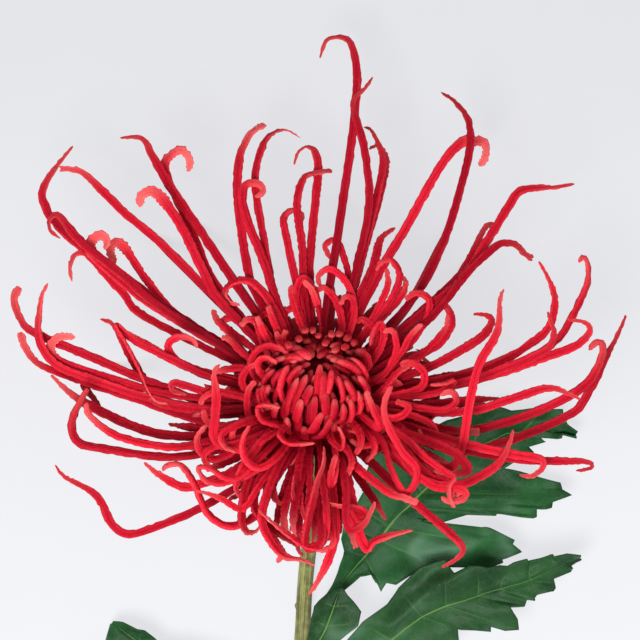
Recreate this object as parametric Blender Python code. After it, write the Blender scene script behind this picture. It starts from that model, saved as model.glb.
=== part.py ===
"""Cut spider chrysanthemum laid down on a surface: one bloom of quilled florets, its calyx, the
curved stem and four leaves. Metres, +Z up. The stem lies along -Y, the bloom faces up and to +Y."""
import math
import random

import bmesh
import bpy
from mathutils import Matrix, Vector

# Driving sizes
MM = 0.001
BLOOM_SPAN = 167.0 * MM
BLOOM_SPAN_PIXELS = 618.0
PIXEL = BLOOM_SPAN / BLOOM_SPAN_PIXELS
VIEW_HEIGHT = 900.0 * MM
SCALE_HEIGHT = 45.0 * MM

AXIS = Vector((0.0, 0.64, 0.768)).normalized()
DOME_CENTRE = (316.0, 392.0, 62.0)
DOME_RADIUS = 15.5 * MM
CORE_RADIUS = 12.5 * MM
CORE_DROP = 4.0 * MM
LAYER_STEP = 5.0 * MM

QUILL_WIDTH = 2.3 * MM
QUILL_THICKNESS = 1.5 * MM
HOOKED_WIDTH = 1.8 * MM
FINGER_WIDTH = 2.1 * MM
LOW_CENTRE = 0.62 * MM
STEM_RADIUS = 2.3 * MM
CALYX_RADIUS = 7.6 * MM
NODE_GAP = 0.3 * MM
UNEVEN = 0.06 * MM
UNEVEN_SEED = 8
BLADE_THICKNESS = 0.7 * MM
PETIOLE_THICKNESS = 1.6 * MM

# Florets, read off the picture by eye in picture pixels, tip first.
# The first number is the layer: 0 is nearest the viewer, 4 is farthest back.
UPPER_LEFT_FLORETS = [
    (3, [(73, 146), (59, 163), (47, 180), (42, 194), (46, 208), (53, 220), (78, 245), (127, 278), (173, 312)]),
    (2, [(59, 169), (69, 169), (86, 175), (122, 210), (163, 245), (204, 286), (222, 303)]),
    (1, [(60, 238), (51, 231), (49, 222), (54, 215), (61, 218), (82, 243), (122, 275), (167, 312)]),
    (3, [(72, 281), (70, 267), (75, 255), (84, 253), (92, 259), (122, 292), (151, 320)]),
    (1, [(105, 249), (107, 241), (102, 235), (94, 238), (90, 247), (100, 262), (140, 296), (180, 322)]),
    (2, [(115, 264), (110, 251), (114, 243), (124, 247), (143, 275), (169, 308), (195, 328)]),
    (2, [(120, 138), (135, 137), (145, 141), (153, 157), (175, 194), (206, 239), (237, 286)]),
    (1, [(188, 172), (190, 161), (182, 150), (171, 155), (165, 165), (171, 186), (196, 241), (220, 290)]),
    (0, [(140, 207), (141, 196), (151, 191), (161, 197), (182, 228), (204, 273), (222, 303)]),
    (1, [(265, 124), (253, 131), (245, 143), (239, 161), (238, 200), (247, 265), (257, 296)]),
    (2, [(301, 138), (286, 130), (273, 133), (263, 145), (255, 180), (263, 235), (273, 290), (280, 320)]),
    (0, [(255, 197), (263, 192), (259, 184), (247, 184), (242, 196), (247, 220), (265, 265), (275, 296)]),
    (2, [(294, 165), (298, 153), (306, 147), (315, 152), (318, 173), (312, 235), (310, 280)]),
    (1, [(332, 171), (320, 172), (304, 178), (297, 204), (302, 245), (304, 285)]),
    (0, [(302, 222), (301, 214), (292, 210), (284, 218), (286, 235), (296, 282), (302, 310)]),
    (0, [(239, 305), (229, 302), (224, 294), (231, 284), (243, 280), (257, 286), (276, 312)]),
]
UPPER_RIGHT_FLORETS = [
    (3, [(320, 58), (326, 41), (338, 37), (349, 41), (355, 57), (357, 85), (350, 153), (336, 245), (326, 306)]),
    (1, [(373, 77), (365, 88), (355, 98), (354, 110), (365, 153), (369, 204), (357, 265), (345, 310)]),
    (2, [(364, 127), (371, 130), (378, 143), (383, 163), (375, 204), (355, 282)]),
    (0, [(395, 228), (383, 236), (378, 247), (372, 270), (358, 300)]),
    (2, [(441, 92), (455, 102), (468, 120), (470, 147), (459, 194), (440, 251), (412, 300)]),
    (4, [(479, 166), (485, 157), (485, 143), (475, 141), (461, 143), (440, 167), (404, 231), (380, 272)]),
    (2, [(575, 184), (555, 187), (536, 188), (520, 191), (510, 204), (487, 241), (461, 280), (430, 306)]),
    (3, [(495, 224), (487, 226), (481, 235), (468, 262), (445, 290)]),
    (1, [(533, 259), (524, 253), (516, 245), (506, 243), (495, 247), (467, 273), (438, 310), (410, 335)]),
]
RIGHT_FLORETS = [
    (2, [(539, 262), (550, 282), (555, 302), (549, 327), (531, 343), (507, 358), (460, 375)]),
    (3, [(579, 263), (583, 257), (588, 265), (587, 284), (577, 307), (557, 340), (520, 362), (470, 380)]),
    (2, [(567, 319), (583, 322), (590, 330), (577, 345), (540, 359), (490, 376), (440, 388)]),
    (0, [(548, 312), (551, 323), (554, 334), (546, 350), (510, 366), (455, 384)]),
    (3, [(626, 315), (619, 332), (604, 361), (583, 402), (563, 418), (504, 442), (450, 450)]),
    (2, [(589, 350), (594, 344), (601, 342), (602, 356), (585, 385), (540, 410), (483, 428), (430, 432)]),
    (1, [(580, 399), (571, 395), (549, 388), (514, 398), (475, 410), (425, 412)]),
    (-1, [(504, 289), (500, 300), (497, 332), (479, 365), (469, 406), (462, 446), (450, 468), (422, 458)]),
    (0, [(434, 471), (450, 474), (467, 471), (462, 460), (440, 446)]),
    (1, [(473, 314), (485, 315), (492, 321), (480, 338), (440, 362), (405, 376)]),
    (2, [(576, 471), (591, 468), (588, 462), (561, 461), (514, 459), (451, 446), (400, 430)]),
    (1, [(519, 475), (532, 476), (542, 468), (539, 459), (500, 452), (450, 440), (400, 424)]),
    (0, [(513, 430), (510, 442), (502, 459), (489, 471), (459, 485), (425, 480), (395, 455)]),
    (2, [(500, 398), (470, 400), (430, 404), (390, 404)]),
]
LOWER_FLORETS = [
    (0, [(442, 567), (455, 560), (463, 549), (451, 534), (418, 506), (389, 481), (365, 455)]),
    (-1, [(418, 503), (405, 498), (392, 494), (375, 482), (352, 462), (338, 440)]),
    (1, [(463, 495), (450, 490), (436, 480), (415, 462), (392, 436)]),
    (1, [(452, 508), (452, 492), (445, 478), (420, 452), (395, 424)]),
    (0, [(413, 530), (395, 534), (375, 541), (367, 549), (358, 530), (345, 490), (335, 450)]),
    (-1, [(375, 502), (371, 511), (364, 524), (351, 530), (346, 520), (346, 490), (340, 452)]),
    (0, [(322, 502), (340, 506), (360, 509), (366, 518), (358, 518), (350, 490), (345, 455)]),
    (1, [(309, 595), (320, 577), (331, 553), (336, 531), (334, 500), (328, 460)]),
    (1, [(277, 563), (282, 552), (272, 538), (262, 520), (268, 490), (285, 450)]),
    (0, [(315, 565), (302, 560), (285, 556), (270, 540), (262, 516), (272, 480), (290, 445)]),
    (1, [(300, 548), (285, 538), (262, 520), (254, 500), (268, 462), (290, 430)]),
    (-1, [(324, 446), (324, 462), (318, 479), (313, 500), (308, 521), (305, 545), (315, 546), (322, 530)]),
    (0, [(305, 520), (300, 500), (298, 475), (303, 445)]),
    (0, [(240, 500), (236, 486), (246, 462), (270, 432)]),
    (1, [(285, 505), (276, 500), (272, 480), (285, 446)]),
]
LEFT_FLORETS = [
    (2, [(20, 287), (14, 299), (20, 318), (33, 332), (82, 353), (143, 379), (204, 402), (250, 410)]),
    (1, [(48, 283), (41, 300), (39, 338), (57, 365), (98, 381), (150, 398), (210, 408)]),
    (3, [(20, 332), (26, 349), (41, 365), (82, 381), (133, 398), (204, 422), (250, 425)]),
    (2, [(75, 337), (59, 337), (50, 349), (62, 362), (110, 378), (180, 396)]),
    (3, [(100, 319), (114, 326), (133, 361), (159, 398), (200, 412)]),
    (1, [(116, 324), (131, 336), (171, 359), (212, 377), (250, 388)]),
    (0, [(198, 347), (190, 338), (175, 338), (168, 349), (184, 365), (224, 377), (262, 385)]),
    (0, [(186, 395), (173, 391), (175, 383), (204, 391), (240, 396)]),
    (2, [(145, 398), (165, 405), (205, 410), (250, 408)]),
    (-1, [(220, 364), (214, 373), (216, 395), (215, 418), (214, 436), (226, 446), (258, 436)]),
    (2, [(88, 388), (80, 402), (72, 422), (78, 442), (106, 449), (163, 457), (204, 453), (250, 440)]),
    (1, [(86, 402), (90, 416), (118, 436), (168, 447), (204, 442), (250, 430)]),
    (2, [(51, 375), (73, 395), (106, 414), (151, 432), (198, 436), (245, 425)]),
    (3, [(103, 417), (98, 404), (84, 384), (110, 386), (160, 404), (215, 415)]),
    (1, [(55, 465), (65, 477), (96, 495), (112, 524), (130, 534), (163, 524), (204, 506), (255, 475), (285, 445)]),
    (2, [(144, 463), (163, 477), (184, 487), (204, 483), (235, 470), (265, 445)]),
    (0, [(163, 471), (167, 466), (180, 465), (194, 483), (208, 514), (230, 526), (257, 514), (275, 480), (290, 450)]),
]
HOOKED_FLORETS = [
    (0, [(255, 381), (248, 392), (248, 413), (256, 425), (268, 424), (285, 415)]),
    (0, [(266, 399), (259, 389), (261, 403), (272, 422), (288, 432), (302, 425)]),
    (-1, [(280, 408), (268, 405), (258, 407), (262, 420), (285, 425)]),
    (0, [(259, 364), (249, 367), (242, 380), (250, 395), (275, 400)]),
    (1, [(268, 347), (259, 346), (251, 356), (262, 375), (285, 385)]),
    (1, [(276, 356), (263, 352), (254, 358), (262, 378), (285, 390)]),
    (-1, [(315, 443), (302, 444), (288, 443), (280, 434), (292, 420), (305, 412)]),
    (-1, [(338, 426), (343, 438), (341, 448), (332, 440), (328, 420)]),
    (0, [(348, 430), (358, 434), (355, 442), (340, 425)]),
    (0, [(369, 432), (381, 431), (384, 422), (368, 412), (350, 405)]),
    (-1, [(392, 386), (385, 400), (386, 420), (402, 451), (416, 467), (414, 485), (404, 492), (392, 470), (378, 435)]),
    (0, [(400, 364), (412, 363), (424, 373), (420, 388), (395, 395), (365, 398)]),
    (-1, [(395, 401), (408, 406), (402, 416), (386, 417), (370, 405)]),
    (-1, [(383, 331), (393, 332), (396, 350), (386, 372), (368, 385)]),
    (0, [(356, 323), (362, 319), (373, 328), (374, 345), (360, 362)]),
    (0, [(405, 300), (416, 293), (429, 300), (426, 320), (408, 345), (382, 366)]),
    (1, [(430, 299), (441, 301), (452, 320), (440, 343), (415, 357), (388, 372)]),
    (1, [(448, 315), (446, 328), (430, 347), (402, 372), (380, 380)]),
    (0, [(375, 271), (382, 262), (392, 261), (400, 276), (392, 298), (375, 322), (358, 345)]),
    (1, [(402, 276), (406, 284), (398, 300), (378, 322), (358, 340)]),
    (0, [(331, 259), (325, 247), (332, 240), (340, 246), (348, 275), (350, 310), (344, 335)]),
    (-1, [(319, 285), (319, 275), (331, 269), (346, 282), (354, 305), (350, 330)]),
    (-1, [(317, 290), (325, 288), (337, 303), (342, 325), (338, 342)]),
    (-1, [(340, 305), (345, 297), (353, 300), (354, 318), (346, 340)]),
    (0, [(302, 276), (310, 285), (318, 306), (322, 330)]),
    (0, [(200, 405), (205, 396), (220, 392), (250, 398), (280, 400)]),
    (0, [(212, 470), (204, 458), (212, 448), (240, 438), (275, 420)]),
    (-1, [(236, 452), (224, 446), (222, 434), (240, 424), (275, 412)]),
    (0, [(260, 470), (248, 462), (250, 450), (268, 436), (290, 422)]),
    (0, [(272, 365), (262, 340), (258, 322), (268, 314), (282, 330), (295, 352)]),
    (0, [(285, 325), (286, 312), (296, 308), (304, 322), (308, 345)]),
    (1, [(230, 335), (222, 326), (228, 318), (248, 326), (280, 355)]),
    (0, [(440, 395), (452, 392), (456, 402), (440, 410), (395, 404)]),
    (-1, [(346, 478), (352, 462), (346, 448), (336, 436), (330, 418)]),
]
# Florets of the dome: tip and base, both on the dome's surface.
DOME_FINGERS = [
    ((311, 360), (300, 353)), ((304, 361), (290, 357)), ((289, 366), (280, 392)), ((303, 367), (290, 378)),
    ((299, 378), (286, 408)), ((308, 375), (293, 406)), ((320, 366), (317, 392)), ((315, 395), (313, 420)),
    ((324, 390), (326, 412)), ((331, 370), (328, 391)), ((336, 377), (343, 398)), ((343, 403), (341, 420)),
    ((350, 398), (350, 420)), ((356, 391), (359, 411)), ((322, 411), (310, 432)), ((332, 416), (318, 438)),
    ((336, 361), (360, 373)), ((349, 359), (366, 378)), ((356, 350), (369, 366)), ((355, 377), (367, 392)),
    ((362, 394), (368, 414)), ((303, 398), (296, 420)), ((334, 398), (332, 418)), ((312, 385), (305, 400)),
    ((324, 374), (323, 396)), ((343, 380), (354, 398)),
]
DOME_TIPS_SEEN_END_ON = [
    (301, 343), (306, 336), (313, 335), (318, 341), (324, 347), (330, 339), (338, 337), (346, 340), (352, 345),
    (333, 352), (342, 350), (361, 352), (291, 348), (297, 362),
]
BACK_FINGERS = 8
# Back florets that droop to the surface, under florets seen above them: across, down, height in mm.
LOW_FLORETS = [
    [(128, 216, 0.62), (150, 234, 0.62), (185, 268, 12), (225, 308, 33), (270, 350, 52)],
    [(178, 199, 0.62), (194, 221, 0.62), (220, 260, 13), (248, 300, 34), (282, 350, 52)],
    [(348, 160, 0.62), (344, 190, 0.62), (338, 235, 14), (330, 285, 35), (322, 340, 52)],
    [(455, 208, 0.62), (448, 228, 0.62), (430, 266, 13), (405, 310, 34), (362, 360, 52)],
    [(494, 231, 0.62), (478, 256, 0.62), (455, 285, 12), (425, 312, 33), (375, 360, 52)],
    [(540, 337, 0.62), (522, 349, 0.62), (490, 365, 13), (440, 380, 34), (375, 392, 52)],
    [(88, 356, 0.62), (110, 365, 0.62), (150, 382, 12), (205, 402, 33), (270, 405, 52)],
]

# Leaf outlines: midrib, one edge and the other edge, one row per side vein.
LEAF_UPPER_RIGHT = [
    ((314.2, 617.5), (313.3, 614.5), (315.2, 620.5)), ((327, 603), (323, 600), (331, 605)),
    ((339, 588), (332, 585), (345, 590)), ((348, 576), (338, 573), (361, 575)),
    ((357, 565), (342, 561), (373, 574)), ((365, 556), (344, 551), (381, 592)),
    ((371, 549), (341, 539), (396, 585)), ((377, 541), (344, 526), (424, 567)),
    ((383, 534), (350, 514), (488, 568)), ((388, 527), (357, 503), (522, 552)),
    ((393, 521), (364, 490), (490, 528)), ((400, 514), (366, 475), (438, 524)),
    ((408, 507), (372, 455), (497, 514)), ((414, 500), (385, 446), (537, 517)),
    ((421, 493), (402, 439), (572, 495)), ((432, 483), (425, 431), (561, 486)),
    ((450, 468), (447, 420), (504, 468)), ((477, 448), (492, 410), (534, 452)),
    ((505, 434), (532, 408), (546, 442)), ((540, 430), (563, 409), (561, 438)),
    ((576, 435), (577, 433), (577, 437)),
]
LEAF_LOWER_RIGHT = [
    ((311, 709), (310, 705), (313, 713)), ((322, 696), (318, 692), (325, 699)),
    ((341, 674), (337, 667), (346, 682)), ((365, 656), (347, 641), (385, 680)),
    ((391, 640), (362, 623), (430, 668)), ((406, 628), (387, 604), (459, 642)),
    ((422, 617), (398, 589), (457, 629)), ((434, 611), (422, 567), (491, 632)),
    ((446, 606), (445, 560), (519, 630)), ((460, 602), (454, 573), (518, 620)),
    ((473, 598), (470, 565), (510, 606)), ((483, 594), (488, 569), (526, 603)),
    ((493, 591), (501, 566), (527, 600)), ((507, 587), (515, 563), (535, 598)),
    ((522, 583), (528, 560), (556, 588)), ((537, 577), (541, 559), (554, 579)),
    ((552, 570), (552, 555), (573, 568)), ((580, 559), (581, 557), (582, 560)),
]
LEAF_SMALL = [
    ((304, 668), (300, 664), (308, 671)), ((309, 657), (303, 652), (316, 661)),
    ((317, 645), (307, 640), (333, 646)), ((325, 630), (311, 622), (354, 625)),
    ((332, 612), (314, 606), (361, 612)), ((337, 598), (326, 594), (353, 594)),
    ((340, 588), (338, 587), (342, 588)),
]
LEAF_LOWER_LEFT = [
    ((287, 742), (288, 738), (286, 746)), ((268, 731), (270, 726), (265, 736)),
    ((245, 718), (256, 702), (238, 744)), ((222, 703), (243, 676), (205, 746)),
    ((198, 686), (216, 657), (182, 724)), ((172, 667), (184, 649), (150, 706)),
    ((146, 648), (160, 643), (122, 676)), ((126, 633), (145, 632), (104, 645)),
    ((112, 623), (113, 621), (110, 624)),
]
STEM_ROUTE = [
    (316, 466, 38.2), (315, 490, 31.0), (312, 520, 22.5), (309, 546, 15.5), (306, 572, 9.6), (304, 598, 5.4),
    (303, 622, 3.0), (301.5, 645, 2.2), (300, 680, 2.2), (299, 740, 2.2), (297, 850, 2.2), (299, 960, 2.2),
    (304, 1085, 2.2),
]


def clear_scene():
    for obj in list(bpy.data.objects):
        bpy.data.objects.remove(obj, do_unlink=True)


def spot(across, down, height):
    """Point in metres for a picture pixel, at a height above the surface in metres."""
    scale = PIXEL * (VIEW_HEIGHT - height) / (VIEW_HEIGHT - SCALE_HEIGHT)
    return Vector(((across - 320.0) * scale, (320.0 - down) * scale, height))


def dome_centre():
    return spot(DOME_CENTRE[0], DOME_CENTRE[1], DOME_CENTRE[2] * MM)


def core_centre():
    return dome_centre() - AXIS * CORE_DROP


def material(name, colour, roughness, metallic=0.0):
    made = bpy.data.materials.new(name)
    made.use_nodes = True
    shader = made.node_tree.nodes["Principled BSDF"]
    shader.inputs["Base Color"].default_value = (*colour, 1.0)
    shader.inputs["Roughness"].default_value = roughness
    shader.inputs["Metallic"].default_value = metallic
    return made


def mesh_object(name, points, faces, collection=None):
    mesh = bpy.data.meshes.new(name)
    mesh.from_pydata([tuple(point) for point in points], [], faces)
    mesh.update()
    made = bpy.data.objects.new(name, mesh)
    (collection or bpy.context.scene.collection).objects.link(made)
    return made


def smooth_route(points, per_span=10):
    """Catmull-Rom curve through the points."""
    ends = [points[0] * 2 - points[1]] + list(points) + [points[-1] * 2 - points[-2]]
    route = []
    for i in range(1, len(ends) - 2):
        a, b, c, d = ends[i - 1], ends[i], ends[i + 1], ends[i + 2]
        for j in range(per_span):
            t = j / per_span
            route.append(
                0.5 * (2 * b + (c - a) * t + (2 * a - 5 * b + 4 * c - d) * t * t
                       + (3 * b - a - 3 * c + d) * t * t * t)
            )
    route.append(points[-1].copy())
    return route


def stations(route, count):
    """Spread stations along a route, closer together where it turns."""
    travelled = [0.0]
    for i in range(1, len(route)):
        step = (route[i] - route[i - 1]).length
        turn = 0.0
        if i > 1 and step > 1e-7:
            turn = (route[i] - route[i - 1]).angle(route[i - 1] - route[i - 2], 0.0)
        travelled.append(travelled[-1] + step + turn * 6.0 * MM)
    chosen = []
    for k in range(count + 1):
        want = travelled[-1] * k / count
        i = 1
        while i < len(route) - 1 and travelled[i] < want:
            i += 1
        span = max(travelled[i] - travelled[i - 1], 1e-9)
        chosen.append(route[i - 1].lerp(route[i], min(1.0, (want - travelled[i - 1]) / span)))
    return chosen


def quill(name, route, width, thickness, collection):
    """Four-sided tapered tube along a route that starts at the tip."""
    count = len(route)
    side = None
    points = []
    for k in range(count):
        ahead = (route[min(k + 1, count - 1)] - route[max(k - 1, 0)]).normalized()
        if side is None:
            side = ahead.cross(Vector((0.0, 0.0, 1.0)))
            if side.length < 0.2:
                side = ahead.cross(AXIS)
        side = (side - ahead * side.dot(ahead)).normalized()
        up = side.cross(ahead).normalized()
        along = k / (count - 1)
        shape = 0.42 if k == 0 else min(1.0, 0.66 + 1.6 * along) * (1.0 - 0.2 * along)
        across = side * width * 0.5 * shape
        deep = up * max(thickness * 0.5 * shape, 0.32 * MM)
        points += [route[k] + across, route[k] + deep, route[k] - across, route[k] - deep]
    faces = [(3, 2, 1, 0), tuple(range(4 * count - 4, 4 * count))]
    for k in range(count - 1):
        for s in range(4):
            a, b = 4 * k + s, 4 * k + (s + 1) % 4
            faces.append((a, b, b + 4, a + 4))
    made = mesh_object(name, points, faces, collection)
    outward_normals(made)
    return made


def outward_normals(obj):
    work = bmesh.new()
    work.from_mesh(obj.data)
    bmesh.ops.recalc_face_normals(work, faces=work.faces)
    work.to_mesh(obj.data)
    work.free()


def head_height(across, down):
    """Height of the head's outer surface over a point of the picture."""
    u = (across - DOME_CENTRE[0]) * PIXEL
    v = (DOME_CENTRE[1] - down) * PIXEL
    lean = -0.45 * v if v > 0 else -0.55 * v
    return DOME_CENTRE[2] * MM + lean + 0.10 * abs(u)


def floret_points(layer, traced):
    """Traced pixels to points with heights: rising or falling away from the core, then the hook."""
    centre = core_centre()
    pixels = [Vector((x, y)) for x, y in reversed(traced)]
    towards = Vector((pixels[0].x - DOME_CENTRE[0], DOME_CENTRE[1] + 9.0 - pixels[0].y))
    towards = towards.normalized() if towards.length > 0 else Vector((0.0, 1.0))
    root = centre + Vector((towards.x, towards.y, -0.1)) * 7.0 * MM
    hub = Vector((DOME_CENTRE[0], DOME_CENTRE[1]))
    reach = [(pixel - hub).length for pixel in pixels]
    far = reach.index(max(reach))
    travelled = [max(reach[0] * PIXEL - 7.0 * MM, 1.0 * MM)]
    for i in range(1, len(pixels)):
        travelled.append(travelled[-1] + (pixels[i] - pixels[i - 1]).length * PIXEL)
    surface = head_height(*pixels[far])
    top = surface - layer * LAYER_STEP * surface / (62.0 * MM)
    points = [root]
    for pixel, length in zip(pixels, travelled):
        t = min(1.0, length / travelled[far])
        ease = math.sin(t * math.pi / 2) if top > root.z else t ** 1.4
        height = root.z + (top - root.z) * ease
        height += min(0.3 * max(0.0, length - travelled[far]), 5.0 * MM)
        points.append(spot(pixel.x, pixel.y, min(max(height, 3.0 * MM), 100.0 * MM)))
    return list(reversed(points))


def uneven(route, draw):
    """A seeded natural unevenness, much smaller than a floret is thick."""
    return [point + Vector([draw.uniform(-UNEVEN, UNEVEN) for _ in range(3)]) for point in route]


def trace_florets(collection):
    draw = random.Random(UNEVEN_SEED)
    groups = [UPPER_LEFT_FLORETS, UPPER_RIGHT_FLORETS, RIGHT_FLORETS, LOWER_FLORETS, LEFT_FLORETS, HOOKED_FLORETS]
    for group in groups:
        width = HOOKED_WIDTH if group is HOOKED_FLORETS else QUILL_WIDTH
        for layer, traced in group:
            route = smooth_route(floret_points(layer, traced))
            length = sum((route[i] - route[i - 1]).length for i in range(1, len(route)))
            count = 7 if length > 55 * MM else 5
            route = uneven(stations(route, count), draw)
            quill("floret", route, width, min(width, QUILL_THICKNESS), collection)


def on_dome(across, down, radius=DOME_RADIUS):
    centre = dome_centre()
    flat = spot(across, down, DOME_CENTRE[2] * MM + 8 * MM) - centre
    flat.z = 0.0
    if flat.length > radius * 0.985:
        flat = flat.normalized() * radius * 0.985
    return centre + Vector((flat.x, flat.y, math.sqrt(radius ** 2 - flat.length ** 2)))


def dome_fingers(collection):
    """Short incurved florets of the dome: seen ones by eye, those behind by a seeded rule."""
    draw = random.Random(7)
    centre = dome_centre()
    pairs = [(on_dome(*tip), on_dome(*base)) for tip, base in DOME_FINGERS]
    for tip in DOME_TIPS_SEEN_END_ON:
        end = on_dome(*tip)
        outward = (end - centre) - AXIS * (end - centre).dot(AXIS)
        pairs.append((end, end - Vector((0.0, 0.0, 9.0 * MM)) + outward.normalized() * 1.5 * MM))
    sideways = AXIS.cross(Vector((1.0, 0.0, 0.0))).normalized()
    for k in range(BACK_FINGERS):
        angle = math.radians(-15.0 + 210.0 * (k + 0.5) / BACK_FINGERS + draw.uniform(-5, 5))
        ring = math.radians(64.0 + 14.0 * (k % 2))
        back = Vector((1.0, 0.0, 0.0)) * math.cos(angle) - sideways * math.sin(angle)
        tip = AXIS * math.cos(ring - 0.3) + back * math.sin(ring - 0.3)
        base = AXIS * math.cos(ring + 0.2) + back * math.sin(ring + 0.2)
        pairs.append((centre + tip * DOME_RADIUS, centre + base * DOME_RADIUS))
    for tip, base in pairs:
        raised = centre + (tip - centre) * 1.05
        middle = centre + ((tip + base) * 0.5 - centre) * 1.08
        root = centre + (base - centre) * 0.55
        quill("finger", [raised, middle, base, root], FINGER_WIDTH, FINGER_WIDTH * 0.8, collection)


def low_florets(collection):
    """Back florets under the head that rest on the surface."""
    for traced in LOW_FLORETS:
        route = smooth_route([spot(x, y, z * MM) for x, y, z in traced] + [core_centre()])
        for point in route:
            point.z = max(point.z, LOW_CENTRE)
        quill("low floret", stations(route, 6), QUILL_WIDTH, QUILL_THICKNESS, collection)


def keep_outer_body(obj):
    """Keep the largest closed body: sealed hollows are filled and loose scraps dropped."""
    work = bmesh.new()
    work.from_mesh(obj.data)
    bmesh.ops.triangulate(work, faces=work.faces)
    left = set(work.faces)
    bodies = []
    while left:
        seed = left.pop()
        body, queue = {seed}, [seed]
        while queue:
            for edge in queue.pop().edges:
                for face in edge.link_faces:
                    if face in left:
                        left.discard(face)
                        body.add(face)
                        queue.append(face)
        bodies.append(body)
    bodies.sort(key=len, reverse=True)
    for body in bodies[1:]:
        bmesh.ops.delete(work, geom=list(body), context="FACES")
    work.to_mesh(obj.data)
    work.free()


def make_bloom(crimson):
    """One node: a core with every floret fused into it."""
    florets = bpy.data.collections.new("florets")
    bpy.context.scene.collection.children.link(florets)
    trace_florets(florets)
    dome_fingers(florets)
    low_florets(florets)
    bpy.ops.mesh.primitive_uv_sphere_add(segments=16, ring_count=8, radius=CORE_RADIUS, location=core_centre())
    bloom = bpy.context.object
    bloom.name = "bloom"
    bloom.rotation_euler = AXIS.to_track_quat("Z", "Y").to_euler()
    bpy.ops.object.transform_apply(location=True, rotation=True, scale=True)
    union = bloom.modifiers.new("fuse florets", "BOOLEAN")
    union.operation = "UNION"
    union.operand_type = "COLLECTION"
    union.collection = florets
    union.solver = "MANIFOLD"
    bpy.ops.object.modifier_apply(modifier=union.name)
    for obj in list(florets.objects):
        bpy.data.objects.remove(obj, do_unlink=True)
    bpy.data.collections.remove(florets)
    keep_outer_body(bloom)
    bloom.data.materials.clear()
    bloom.data.materials.append(crimson)
    return bloom


def make_calyx(green):
    """Cup of bracts under the core, turned about the head's axis."""
    cup = CORE_RADIUS + NODE_GAP
    rim = CALYX_RADIUS - 0.6 * MM
    profile = [
        (0.0, cup), (rim * 0.5, math.sqrt(cup ** 2 - (rim * 0.5) ** 2)), (rim, math.sqrt(cup ** 2 - rim ** 2)),
        (CALYX_RADIUS, math.sqrt(cup ** 2 - rim ** 2) + 0.3 * MM), (6.4 * MM, 14.4 * MM), (3.6 * MM, 17.4 * MM),
        (0.0, 17.4 * MM),
    ]
    centre = core_centre()
    first = AXIS.cross(Vector((1.0, 0.0, 0.0))).normalized()
    second = AXIS.cross(first).normalized()
    sides = 16
    points = [centre - AXIS * profile[0][1]]
    for radius, depth in profile[1:-1]:
        for k in range(sides):
            angle = 2 * math.pi * k / sides
            points.append(centre - AXIS * depth + (first * math.cos(angle) + second * math.sin(angle)) * radius)
    points.append(centre - AXIS * profile[-1][1])
    last = len(points) - 1
    faces = []
    for k in range(sides):
        n = (k + 1) % sides
        faces.append((0, 1 + k, 1 + n))
        for ring in range(len(profile) - 3):
            a, b = 1 + ring * sides + k, 1 + ring * sides + n
            faces.append((a, a + sides, b + sides, b))
        faces.append((last, last - sides + n, last - sides + k))
    calyx = mesh_object("calyx", points, faces)
    outward_normals(calyx)
    calyx.data.materials.append(green)
    return calyx


def make_stem(green):
    """Round stem with eight sides, one of them flat on the surface."""
    below = core_centre() - AXIS * (17.4 * MM + NODE_GAP)
    route = [below, below - AXIS * 3.0 * MM] + [spot(x, y, z * MM) for x, y, z in STEM_ROUTE]
    line = smooth_route(route, 4)
    sides = 8
    flat = math.cos(math.pi / sides)
    points, faces = [], []
    for k, point in enumerate(line):
        ahead = (line[min(k + 1, len(line) - 1)] - line[max(k - 1, 0)]).normalized()
        if k == 0:
            ahead = -AXIS
        side = ahead.cross(Vector((0.0, 0.0, 1.0))).normalized()
        up = side.cross(ahead).normalized()
        if point.z < 2.6 * MM:
            point = Vector((point.x, point.y, STEM_RADIUS * flat))
            ahead = Vector((ahead.x, ahead.y, 0.0)).normalized()
            side = ahead.cross(Vector((0.0, 0.0, 1.0)))
            up = Vector((0.0, 0.0, 1.0))
        for s in range(sides):
            angle = 2 * math.pi * (s + 0.5) / sides
            points.append(point + (side * math.cos(angle) + up * math.sin(angle)) * STEM_RADIUS)
    for k in range(len(line) - 1):
        for s in range(sides):
            a, b = k * sides + s, k * sides + (s + 1) % sides
            faces.append((a, b, b + sides, a + sides))
    faces += [tuple(range(sides - 1, -1, -1)), tuple(range(len(points) - sides, len(points)))]
    stem = mesh_object("stem", points, faces)
    outward_normals(stem)
    for face in stem.data.polygons:
        face.use_smooth = len(face.vertices) == 4
    stem.data.materials.append(green)
    return stem


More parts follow.
